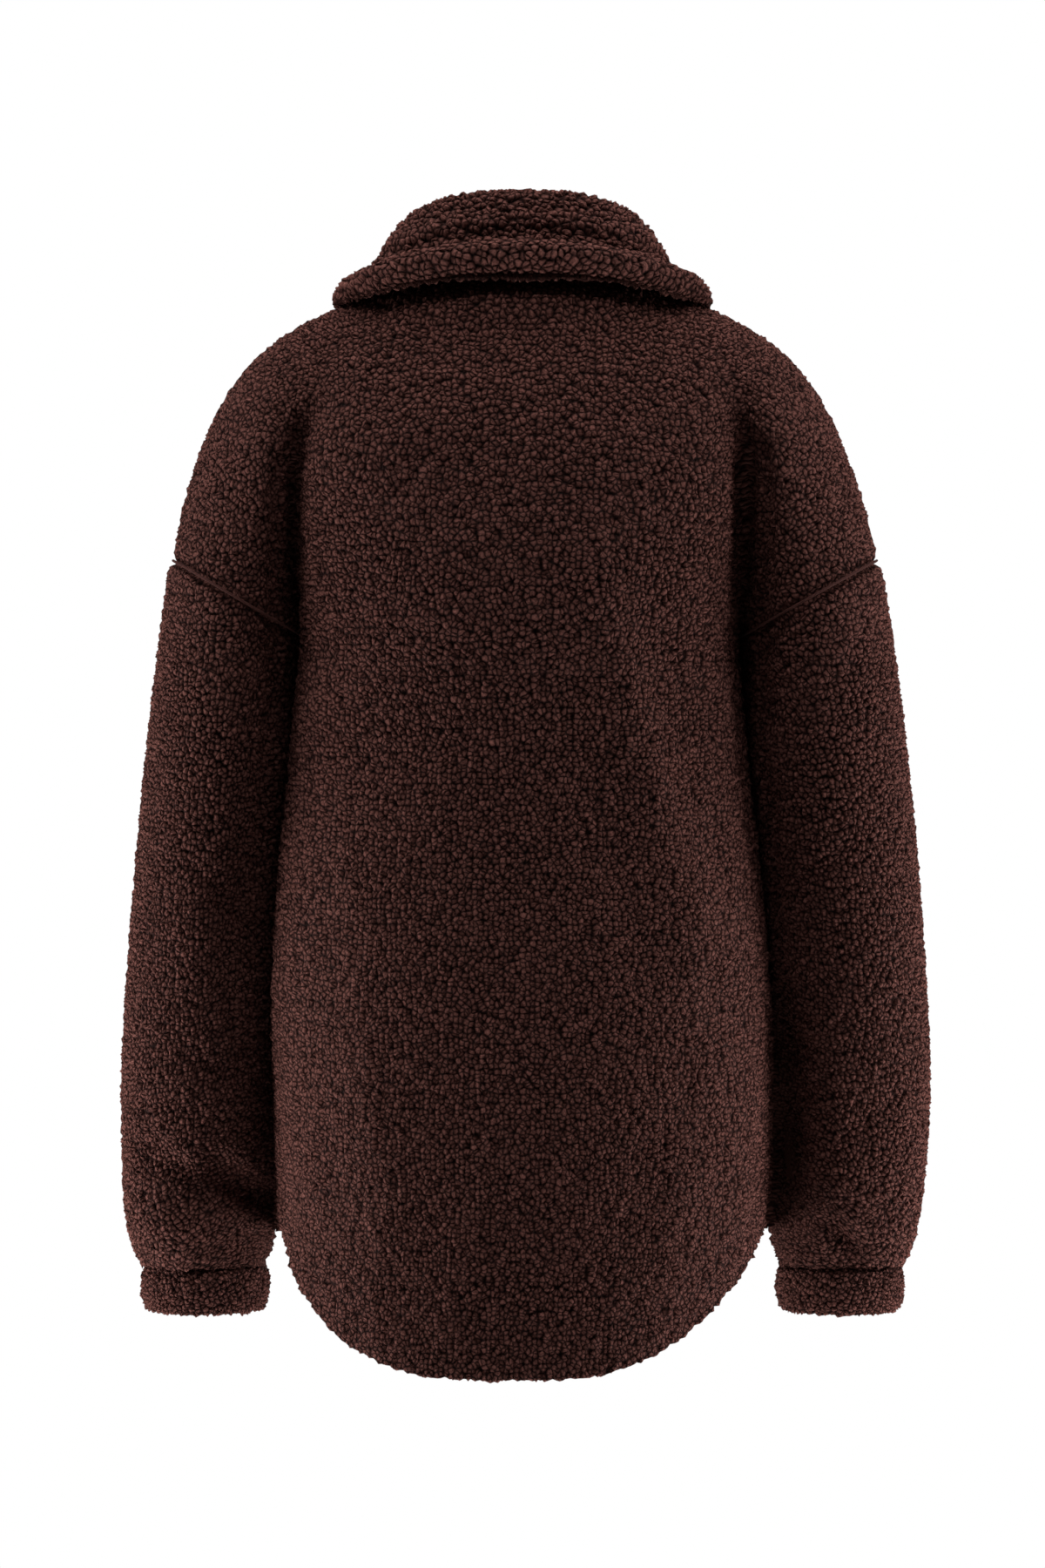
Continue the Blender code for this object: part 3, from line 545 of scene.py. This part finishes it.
# Cloth walls and their flat cut
def merged_copy(node):
    """The node's wall as quads, its doubles merged."""
    work = bmesh.new()
    work.from_mesh(nodes[node].data)
    bmesh.ops.remove_doubles(work, verts=work.verts, dist=WALL_MERGE)
    bmesh.ops.join_triangles(work, faces=work.faces, angle_face_threshold=math.pi,
                             angle_shape_threshold=math.pi)
    work.normal_update()
    return work


def outer_patch(work, facing):
    """Faces of the pile side: all that join the face furthest out, over no sharp edge."""
    facing = Vector(facing)
    seed = max(work.faces, key=lambda face: face.calc_center_median().dot(facing))
    found = {seed}
    front = [seed]
    while front:
        face = front.pop()
        for edge in face.edges:
            if edge.calc_face_angle(math.pi) > SHARP:
                continue
            for other in edge.link_faces:
                if other not in found:
                    found.add(other)
                    front.append(other)
    return found


def neighbour_tree(node):
    """The other cloth nodes' surfaces, to find where this one is sewn."""
    work = bmesh.new()
    for name in CLOTH:
        if name != node:
            work.from_mesh(nodes[name].data)
    tree = BVHTree.FromBMesh(work)
    work.free()
    return tree


def armhole_edges(work, outer):
    """The outer patch's upper border on a sleeve, where it is sewn into the armhole."""
    return [edge for edge in work.edges
            if sum(face in outer for face in edge.link_faces) == 1
            and min(vertex.co.z for vertex in edge.verts) > ARMHOLE_LOW_Z]


def armhole_loop(node):
    """Points round a sleeve's dropped shoulder seam, in order, with the way the cloth faces."""
    work = merged_copy(node)
    edges = armhole_edges(work, outer_patch(work, CLOTH[node][0]))
    ring = {edge.index for edge in edges}
    vertex = edges[0].verts[0]
    points = []
    while ring:
        edge = next((edge for edge in vertex.link_edges if edge.index in ring), None)
        if edge is None:
            break
        ring.discard(edge.index)
        points.append((vertex.co.copy(), vertex.normal.copy()))
        vertex = edge.other_vert(vertex)
    work.free()
    return points


def closed_curve(points, steps):
    """A closed smooth curve through points, as many steps between each two."""
    dense = []
    for k, point in enumerate(points):
        before = points[k - 1]
        after = points[(k + 1) % len(points)]
        beyond = points[(k + 2) % len(points)]
        slope = after - before
        bow = 2 * before - 5 * point + 4 * after - beyond
        twist = 3 * point - before - 3 * after + beyond
        for t in np.arange(steps) / steps:
            dense.append(0.5 * (2 * point + slope * t + bow * t**2 + twist * t**3))
    return dense


def lowest_run(work, start, allowed):
    """Edges from a vertex straight down the cloth, along its grid."""
    run = []
    vertex = start
    while True:
        below = [edge for edge in vertex.link_edges if edge not in run
                 and any(face in allowed for face in edge.link_faces)]
        slopes = [((edge.other_vert(vertex).co - vertex.co).normalized().z, k)
                  for k, edge in enumerate(below)]
        if not slopes or min(slopes)[0] > -UNDERARM_STEEP:
            return run
        edge = below[min(slopes)[1]]
        run.append(edge)
        vertex = edge.other_vert(vertex)


def mark_cuts(work, node):
    """Seams of the flat cut: the pile's border, a sleeve's underarm line, a cuff's inner side."""
    pile = {face for face in work.faces if face.material_index == 0}
    for edge in work.edges:
        sides = [face in pile for face in edge.link_faces]
        edge.seam = not all(sides) or (node in WRAPPED and edge.calc_face_angle(0.0) > SHARP)
    if node.startswith("sleeve"):
        top = [vertex for edge in armhole_edges(work, pile) for vertex in edge.verts]
        for edge in lowest_run(work, min(top, key=lambda vertex: vertex.co.z), pile):
            edge.seam = True
    if node.startswith("cuff"):
        inner_x = min(abs(vertex.co.x) for vertex in work.verts)
        across = [vertex.co.y for vertex in work.verts]
        axis_y = 0.5 * (min(across) + max(across))
        top_z = max(vertex.co.z for vertex in work.verts)
        for edge in work.edges:
            ends = edge.verts
            on_line = all(abs(vertex.co.y - axis_y) < CUFF_LINE for vertex in ends)
            on_inner = all(abs(vertex.co.x) < inner_x + CUFF_SIDE for vertex in ends)
            on_top = all(vertex.co.z > top_z - CUFF_TOP for vertex in ends)
            edge.seam = edge.seam or (on_line and on_inner) or on_top


def smooth_wall(node, facing, sewn):
    """Subdivided copy of a wall, laid out flat in its UV map. Index 0 marks its pile, 1 the reverse."""
    work = merged_copy(node)
    crease = work.edges.layers.float.new("crease_edge")
    outer = set(work.faces) if node in WRAPPED else outer_patch(work, facing)
    for face in work.faces:
        near = sewn.find_nearest(face.calc_center_median())[3]
        beside = any(other in outer for edge in face.edges for other in edge.link_faces)
        if node in WRAPPED:
            face.material_index = 1 if near < SEAM_NEAR else 0
        else:
            face.material_index = 0 if face in outer or (beside and near > SEAM_NEAR) else 1
    for edge in work.edges:
        if edge.calc_face_angle(math.pi) > SHARP and node not in WRAPPED:
            edge[crease] = 1.0
    mark_cuts(work, node)
    mesh = mesh_from(node + "_wall", work)
    wall = placed(node + "_wall", mesh)
    bpy.ops.object.select_all(action="DESELECT")
    wall.select_set(True)
    bpy.context.view_layer.objects.active = wall
    mesh.uv_layers.new(name="cut")
    bpy.ops.object.mode_set(mode="EDIT")
    bpy.ops.mesh.select_all(action="SELECT")
    bpy.ops.uv.unwrap(method="MINIMUM_STRETCH", iterations=UNWRAP_ROUNDS, margin=UNWRAP_MARGIN)
    bpy.ops.object.mode_set(mode="OBJECT")
    rounding = wall.modifiers.new("smooth", "SUBSURF")
    rounding.levels = SMOOTH_LEVELS
    rounding.render_levels = SMOOTH_LEVELS
    dressed = finished_mesh(wall)
    bpy.data.objects.remove(wall)
    return dressed


def refined(mesh, longest):
    """Pile faces split until no edge is longer than asked."""
    work = bmesh.new()
    work.from_mesh(mesh)
    bmesh.ops.triangulate(work, faces=[face for face in work.faces if face.material_index == 0])
    for _ in range(SPLIT_ROUNDS):
        long_edges = [edge for edge in work.edges if edge.calc_length() > longest
                      and any(face.material_index == 0 for face in edge.link_faces)]
        if not long_edges:
            break
        bmesh.ops.subdivide_edges(work, edges=long_edges, cuts=1)
        bmesh.ops.triangulate(work, faces=[face for face in work.faces
                                           if face.material_index == 0 and len(face.verts) > 3])
    work.normal_update()
    return work


# Curls, creases and seams
def curl_size(z):
    """Curls are larger at the collar than at the hem."""
    down = np.clip((CURL_TOP_Z - z) / (CURL_TOP_Z - CURL_LOW_Z), 0.0, 1.0)
    return CURL_TOP + (CURL_LOW - CURL_TOP) * down


def curl_place(work):
    """Each vertex's place on the flat cut, in curls: across, then down the cloth."""
    layer = work.loops.layers.uv["cut"]
    flat = np.zeros((len(work.verts), 2))
    area = 0.0
    area_flat = 0.0
    pile = np.zeros(len(work.verts), bool)
    for face in work.faces:
        if face.material_index:
            continue
        corners = [loop[layer].uv for loop in face.loops]
        area += face.calc_area()
        area_flat += 0.5 * abs(sum(a.x * b.y - b.x * a.y for a, b in zip(corners, corners[1:] + corners[:1])))
        for loop, corner in zip(face.loops, corners):
            flat[loop.vert.index] = corner
            pile[loop.vert.index] = True
    flat *= math.sqrt(area / area_flat)
    heights = np.array([vertex.co.z for vertex in work.verts])
    columns = np.column_stack([flat[pile], np.ones(pile.sum())])
    slope = np.linalg.lstsq(columns, heights[pile], rcond=None)[0][:2]
    down = -slope / np.linalg.norm(slope)
    across = np.array([-down[1], down[0]])
    u, v = flat @ across, flat @ down
    u -= u[pile].mean()
    v -= v[pile].min()
    top, low = heights[pile].max(), heights[pile].min()
    first, last = 1.0 / curl_size(top), 1.0 / curl_size(low)
    growth = (last - first) / v[pile].max()
    return np.column_stack([u * (first + growth * v), first * v + 0.5 * growth * v**2, np.zeros(len(u))])


def curl_modifier_tree():
    """Geometry nodes that raise the curls of the pile material from the mesh."""
    tree = bpy.data.node_groups.new("raise_curls", "GeometryNodeTree")
    tree.interface.new_socket("Geometry", in_out="INPUT", socket_type="NodeSocketGeometry")
    tree.interface.new_socket("Geometry", in_out="OUTPUT", socket_type="NodeSocketGeometry")
    start = tree.nodes.new("NodeGroupInput")
    end = tree.nodes.new("NodeGroupOutput")

    def named(name, kind):
        node = tree.nodes.new("GeometryNodeInputNamedAttribute")
        node.data_type = kind
        node.inputs["Name"].default_value = name
        return node.outputs["Attribute"]

    height, _ = curl_field(tree, named("curl_place", "FLOAT_VECTOR"))
    raised = math_node(tree, "SUBTRACT", height, CURL_ROOT)
    raised = math_node(tree, "MULTIPLY", raised, named("pile", "FLOAT"))
    move = tree.nodes.new("GeometryNodeSetPosition")
    tree.links.new(start.outputs[0], move.inputs["Geometry"])
    tree.links.new(scaled(tree, named("out", "FLOAT_VECTOR"), raised), move.inputs["Offset"])
    tree.links.new(move.outputs[0], end.inputs[0])
    return tree


def pile_weights(work, node, others):
    """How high the pile stands at each vertex, the way it stands, and how far its root moves."""
    count = len(work.verts)
    weight = np.zeros(count)
    outward = np.zeros((count, 3))
    closing = np.zeros(count)
    beside = np.full(count, 1.0)
    points = np.array([vertex.co for vertex in work.verts])
    for vertex in work.verts:
        pile_faces = [face for face in vertex.link_faces if face.material_index == 0]
        if not pile_faces:
            outward[vertex.index] = vertex.normal
            continue
        total = sum((face.normal * face.calc_area() for face in pile_faces), Vector())
        total.normalize()
        outward[vertex.index] = total
        weight[vertex.index] = CURL_HEIGHT
        seam = others.find_nearest(vertex.co, SEAM_REACH)[3]
        if seam is not None:
            beside[vertex.index] = seam
        deep = 1.0 - abs(vertex.co.y - SLOT_DEPTH_Y) / SLOT_DEPTH_HALF
        if node in CREASED and deep > 0.0:
            gap = others.ray_cast(vertex.co + total * SLOT_START, total, SLOT_REACH)[3]
            if gap is not None:
                closing[vertex.index] = (0.5 * gap + SLOT_START) * min(1.0, SLOT_EASE * deep)
    pile = weight > 0
    pressed = np.exp(-(beside / SEAM_PRESS) ** 2)
    armhole = np.exp(-(nearest(armholes, points) / ARMHOLE_PRESS) ** 2)
    armhole *= np.clip((np.abs(points[:, 0]) - ARMHOLE_FADE_X) / ARMHOLE_FADE, 0.0, 1.0)
    weight *= (1.0 - SEAM_FLATTEN * pressed) * (1.0 - ARMHOLE_FLATTEN * armhole)
    shift = closing - (SEAM_SINK * pressed + ARMHOLE_SINK * armhole) * pile
    if node in CREASED:
        shift += crease_shift(points, outward) * pile
    if node == "collar":
        shift += collar_shift(points, outward) * pile
    if node == "placket_top":
        in_front = outward[:, 1] < FRONT_FACING
        for row in STITCH_ROWS:
            line = np.exp(-((points[:, 0] - row) / STITCH_PRESS) ** 2) * in_front
            weight *= 1.0 - STITCH_FLATTEN * line
            shift -= STITCH_SINK * line
        off = [np.hypot(points[:, 0] - at.x, points[:, 2] - at.z) for at in button_places]
        under = np.exp(-(np.min(off, axis=0) / BUTTON_PRESS) ** 4) * in_front
        weight *= 1.0 - BUTTON_FLATTEN * under
        shift -= BUTTON_SINK * under
    return weight, outward, np.maximum(shift, -SINK_MOST)


def nearest(tree, points):
    """Distance from each point to the closest one in a tree."""
    return np.array([tree.find(point)[2] for point in points])


def gap_slide(points):
    """Sideways move that sets the dark gap between body and arm where the photo shows it."""
    rows = np.array(GAP_ROWS)[::-1]
    side = np.sign(points[:, 0])
    off = np.abs(points[:, 0])
    columns = [np.interp(points[:, 2], rows[:, 0], column) for column in rows[:, 1:].T]
    place, further, wider_left, wider_right = columns
    move = np.where(side > 0, further, 0.0) * np.exp(-((off - place) / GAP_MOVE_REACH) ** 2)
    wider = np.where(side > 0, wider_left, wider_right) * np.exp(-((off - place) / GAP_WIDEN_REACH) ** 2)
    fade = np.clip((points[:, 1] - GAP_FRONT_Y) / GAP_FADE, 0.0, 1.0)
    return side * (move + wider * np.clip((off - place) / GAP_EDGE, -1.0, 1.0)) * fade


def near_line(points, start, end, width):
    """Between 0 and 1, how near each point lies to a line drawn across and up, fullest halfway along."""
    along = np.array(end) - start
    from_start = points[:, [0, 2]] - start
    part = np.clip(from_start @ along / (along @ along), 0.0, 1.0)
    away = np.linalg.norm(from_start - part[:, None] * along, axis=1)
    strength = CREASE_END + (1.0 - CREASE_END) * np.sin(math.pi * part)
    return strength * np.exp(-(away / width) ** 2)


def fold_depth(points):
    """How far the deep folds push each point of a sleeve's back towards the front."""
    depth = np.zeros(len(points))
    for start_x, start_z, end_x, end_z, most, width in FOLDS:
        depth = np.maximum(depth, most * near_line(points, (start_x, start_z), (end_x, end_z), width))
    return depth * np.clip((points[:, 1] - FOLD_FRONT_Y) / FOLD_FADE, 0.0, 1.0)


def crease_shift(points, outward):
    """How far the creases move each point along the way its cloth faces."""
    shift = np.zeros(len(points))
    for face, start_x, start_z, end_x, end_z, height, width in CREASES:
        shown = np.clip((outward[:, 1] * face - CREASE_FACING) / (1.0 - CREASE_FACING), 0.0, 1.0)
        shift += height * near_line(points, (start_x, start_z), (end_x, end_z), width) * np.sqrt(shown)
    return shift


def collar_shift(points, outward):
    """The collar's rolled leaf: a hollow above the roll, and a tuck where it turns under."""
    away = points[:, 2] - RIDGE_Z + RIDGE_FALL * points[:, 0] ** 2
    width = np.where(away > 0, RIDGE_ABOVE, RIDGE_BELOW)
    roll = RIDGE_HEIGHT * np.exp(-(away / width) ** 2)
    hollow = HOLLOW_DEPTH * np.exp(-((away - HOLLOW_UP) / HOLLOW_WIDTH) ** 2)
    tuck = TUCK_DEPTH * np.exp(-((away + TUCK_DOWN) / TUCK_WIDTH) ** 2)
    spoke = points[:, :2] - (0.0, NECK_Y)
    spoke /= np.linalg.norm(spoke, axis=1)[:, None]
    leaf = np.clip(LEAF_EASE * (outward[:, :2] * spoke).sum(axis=1), 0.0, 1.0)
    behind = np.clip((points[:, 1] - LEAF_FRONT_Y) / LEAF_FADE, 0.0, 1.0)
    return (roll - hollow - tuck) * leaf * behind


def add_attribute(mesh, name, kind, values):
    """A value or a vector kept for each vertex of a mesh."""
    layer = mesh.attributes.new(name, kind, "POINT")
    values = np.ascontiguousarray(values, float).ravel()
    layer.data.foreach_set("vector" if kind == "FLOAT_VECTOR" else "value", values)


def pile_piece(node, curls, pile):
    """A cloth piece with its curls raised, in place of its node."""
    facing, longest, cut, area = CLOTH[node]
    sewn = neighbour_tree(node)
    work = refined(smooth_wall(node, facing, sewn), longest)
    work.verts.index_update()
    place = curl_place(work)
    weight, outward, shift = pile_weights(work, node, sewn)
    points = np.array([vertex.co for vertex in work.verts])
    slide = gap_slide(points) * (node in CREASED)
    depth = fold_depth(points) * node.startswith("sleeve")
    for vertex in work.verts:
        vertex.co += Vector(outward[vertex.index]) * shift[vertex.index]
        vertex.co.x += slide[vertex.index]
        vertex.co.y -= depth[vertex.index]
    mesh = mesh_from(node + "_pile", work)
    add_attribute(mesh, "curl_place", "FLOAT_VECTOR", place)
    add_attribute(mesh, "out", "FLOAT_VECTOR", outward)
    add_attribute(mesh, "pile", "FLOAT", weight)
    # This also sets every face, those of the reverse too, to the one material
    mesh.materials.clear()
    mesh.materials.append(pile)
    raw = placed(node + "_raw", mesh)
    raised = raw.modifiers.new("curls", "NODES")
    raised.node_group = curls
    finished = finished_mesh(raw)
    bpy.data.objects.remove(raw)
    finished.shade_smooth()
    piece = placed(node + "_pile", finished)
    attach(piece, BODY)
    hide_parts(node)


# Sewing and buttons
def tube(points, radius, closed):
    """A thin round cord through points, as a mesh."""
    curve = bpy.data.curves.new("cord", "CURVE")
    curve.dimensions = "3D"
    curve.bevel_depth = radius
    curve.bevel_resolution = 2
    curve.use_fill_caps = not closed
    spline = curve.splines.new("POLY")
    spline.points.add(len(points) - 1)
    spline.use_cyclic_u = closed
    for knot, point in zip(spline.points, points):
        knot.co = (*point, 1.0)
    cord = placed("cord", curve)
    mesh = finished_mesh(cord)
    bpy.data.objects.remove(cord)
    return mesh


def detail_piece(name, work, material, replaced=None):
    """A finished hard or sewn detail from a bmesh."""
    bmesh.ops.recalc_face_normals(work, faces=work.faces)
    mesh = mesh_from(name, work)
    mesh.materials.append(material)
    mesh.shade_smooth()
    piece = placed(name, mesh)
    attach(piece, BODY)
    if replaced:
        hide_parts(replaced)


def seam_cords(thread):
    """The dropped shoulder seams: a thin smooth ridge all round each armhole."""
    for node in SLEEVES:
        loop = [point + normal * CORD_LIFT for point, normal in armhole_loop(node)]
        work = bmesh.new()
        work.from_mesh(tube(closed_curve(loop, CORD_STEPS), CORD_RADIUS, True))
        bmesh.ops.remove_doubles(work, verts=work.verts, dist=CORD_MERGE)
        detail_piece(node + "_seam", work, thread)


def on_placket(front, x, z):
    """The placket's surface point at a place, seen from in front, and the way it faces."""
    return front.ray_cast(Vector((x, BEFORE_PLACKET_Y, z)), Vector((0.0, 1.0, 0.0)))[:2]


def placket_stitches(thread):
    """Two rows of stitches down the top placket."""
    low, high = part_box("placket_top")
    front = placket_front()
    work = bmesh.new()
    for row in STITCH_ROWS:
        for z in np.arange(high[2] - PLACKET_INSET, low[2] + PLACKET_INSET, -STITCH_STEP):
            point, normal = on_placket(front, row, z)
            if point is None:
                continue
            down = Vector((0.0, 0.0, -1.0))
            down = (down - normal * down.dot(normal)).normalized()
            turn = Matrix((down.cross(normal), normal, down)).transposed().to_4x4()
            place = Matrix.Translation(point + normal * STITCH_LIFT) @ turn
            shape = Matrix.Diagonal((THREAD_RADIUS, THREAD_RADIUS, STITCH_HALF, 1.0))
            bmesh.ops.create_uvsphere(work, u_segments=8, v_segments=5, radius=1.0, matrix=place @ shape)
    detail_piece("placket_stitches", work, thread)


def placket_front():
    """The top placket's surface, to lay details on it."""
    work = bmesh.new()
    work.from_mesh(nodes["placket_top"].data)
    tree = BVHTree.FromBMesh(work)
    work.free()
    return tree


def buttonholes(thread):
    """A vertical stitched buttonhole behind each button."""
    front = placket_front()
    work = bmesh.new()
    for at in button_places:
        ring = []
        for k in range(BUTTONHOLE_POINTS):
            turn = 2.0 * math.pi * k / BUTTONHOLE_POINTS
            point, normal = on_placket(front, at.x + BUTTONHOLE_WIDE * math.cos(turn),
                                       at.z + BUTTONHOLE_HALF * math.sin(turn))
            ring.append(point + normal * BUTTONHOLE_LIFT)
        work.from_mesh(tube(ring, BUTTONHOLE_THREAD, True))
    bmesh.ops.remove_doubles(work, verts=work.verts, dist=CORD_MERGE)
    detail_piece("buttonhole_stitches", work, thread)


def drilled_button():
    """One button lying flat, face up: a rim, a dished middle and four holes."""
    work = bmesh.new()
    outline = [work.verts.new((BUTTON_RADIUS * r, 0.0, BUTTON_THICK * h)) for r, h in BUTTON_PROFILE]
    edges = [work.edges.new(pair) for pair in zip(outline, outline[1:])]
    bmesh.ops.spin(work, geom=outline + edges, cent=(0.0, 0.0, 0.0), axis=(0.0, 0.0, 1.0),
                   angle=2.0 * math.pi, steps=BUTTON_STEPS, use_merge=True)
    bmesh.ops.remove_doubles(work, verts=work.verts, dist=BUTTON_MERGE)
    bmesh.ops.recalc_face_normals(work, faces=work.faces)
    blank = placed("button_body", mesh_from("button_body", work))
    work = bmesh.new()
    for x in (-HOLE_PLACE, HOLE_PLACE):
        for y in (-HOLE_PLACE, HOLE_PLACE):
            bmesh.ops.create_cone(work, cap_ends=True, segments=HOLE_SEGMENTS, radius1=HOLE_RADIUS,
                                  radius2=HOLE_RADIUS, depth=4.0 * BUTTON_THICK,
                                  matrix=Matrix.Translation((x, y, 0.0)))
    cutter = placed("button_drill", mesh_from("button_drill", work))
    cut = blank.modifiers.new("holes", "BOOLEAN")
    cut.object = cutter
    cut.operation = "DIFFERENCE"
    cut.solver = "EXACT"
    mesh = finished_mesh(blank)
    bpy.data.objects.remove(blank)
    bpy.data.objects.remove(cutter)
    return mesh


def button_thread(work, place):
    """Two pairs of thread strands through a button's holes."""
    for x in (-HOLE_PLACE, HOLE_PLACE):
        for side in (-1.0, 0.0, 1.0):
            middle = (x + side * STRAND_APART, 0.0, BUTTON_THICK * BUTTON_DISH + STRAND_LIFT)
            shape = (Matrix.Translation(middle) @ Matrix.Rotation(math.pi / 2, 4, "X")
                     @ Matrix.Diagonal((STRAND_RADIUS, STRAND_RADIUS, HOLE_PLACE + STRAND_OVER, 1.0)))
            bmesh.ops.create_uvsphere(work, u_segments=8, v_segments=6, radius=1.0, matrix=place @ shape)


def button_frame(node):
    """Where a button lies: its middle, with z out of the cloth."""
    points = np.array([vertex.co for vertex in nodes[node].data.vertices])
    middle = 0.5 * (points.min(axis=0) + points.max(axis=0))
    axis = Vector(np.linalg.svd(points - points.mean(axis=0))[2][2])
    axis = axis if axis.y < 0 else -axis
    side = Vector((0.0, 0.0, 1.0)).cross(axis).normalized()
    turn = Matrix((side, axis.cross(side), axis)).transposed().to_4x4()
    return Matrix.Translation(Vector(middle) - axis * 0.5 * BUTTON_THICK) @ turn


def buttons(plastic, thread):
    """The six buttons with their sewing thread, in place of their plain solids."""
    pattern = drilled_button()
    strands = bmesh.new()
    for node in BUTTON_NODES:
        place = button_frame(node)
        work = bmesh.new()
        work.from_mesh(pattern)
        work.transform(place)
        detail_piece(node + "_drilled", work, plastic, node)
        button_thread(strands, place)
    detail_piece("button_threads", strands, thread)


# Studio
def studio():
    """Plain pale floor, soft light from the sides, above and in front, and the camera behind."""
    scene = bpy.context.scene
    scene.view_settings.view_transform = "Standard"
    world = bpy.data.worlds.new("studio")
    scene.world = world
    world.use_nodes = True
    backdrop = world.node_tree.nodes["Background"]
    backdrop.inputs["Color"].default_value = WHITE
    seen = world.node_tree.nodes.new("ShaderNodeLightPath").outputs["Is Camera Ray"]
    strength = math_node(world.node_tree, "MULTIPLY_ADD", seen, 1.0 - AMBIENT, AMBIENT)
    world.node_tree.links.new(strength, backdrop.inputs["Strength"])
    work = bmesh.new()
    bmesh.ops.create_circle(work, cap_ends=True, segments=96, radius=FLOOR_RADIUS,
                            matrix=Matrix.Translation((0.0, 0.0, FLOOR_Z)))
    floor = placed("floor", mesh_from("floor", work))
    material, _, shader = new_material("pale_floor")
    shader.inputs["Base Color"].default_value = PALE
    floor.data.materials.append(material)
    for name, place, power, size in LIGHTS:
        light = bpy.data.lights.new(name, "AREA")
        light.energy = power
        light.size = size
        lamp = placed(name, light)
        lamp.location = place
        aim = Vector(LIGHT_AIM) - Vector(place)
        lamp.rotation_mode = "QUATERNION"
        lamp.rotation_quaternion = aim.to_track_quat("-Z", "Y")
    data = bpy.data.cameras.new("camera")
    data.lens = CAMERA_LENS
    data.sensor_width = CAMERA_SENSOR
    camera = placed("camera", data)
    camera.location = CAMERA_PLACE
    camera.rotation_euler = (math.pi / 2, 0.0, math.pi)
    scene.camera = camera


# The garment: places found on the solids first, then cloth, sewing and buttons
button_places = [button_frame(node).translation for node in BUTTON_NODES]
armhole_points = [point for node in SLEEVES
                  for point in closed_curve([place for place, _ in armhole_loop(node)], ARMHOLE_STEPS)]
armholes = KDTree(len(armhole_points))
for index, point in enumerate(armhole_points):
    armholes.insert(point, index)
armholes.balance()

curls = curl_modifier_tree()
pile = pile_material()
thread = thread_material()
for node in CLOTH:
    pile_piece(node, curls, pile)
seam_cords(thread)
placket_stitches(thread)
buttonholes(thread)
buttons(button_material(), thread)
studio()
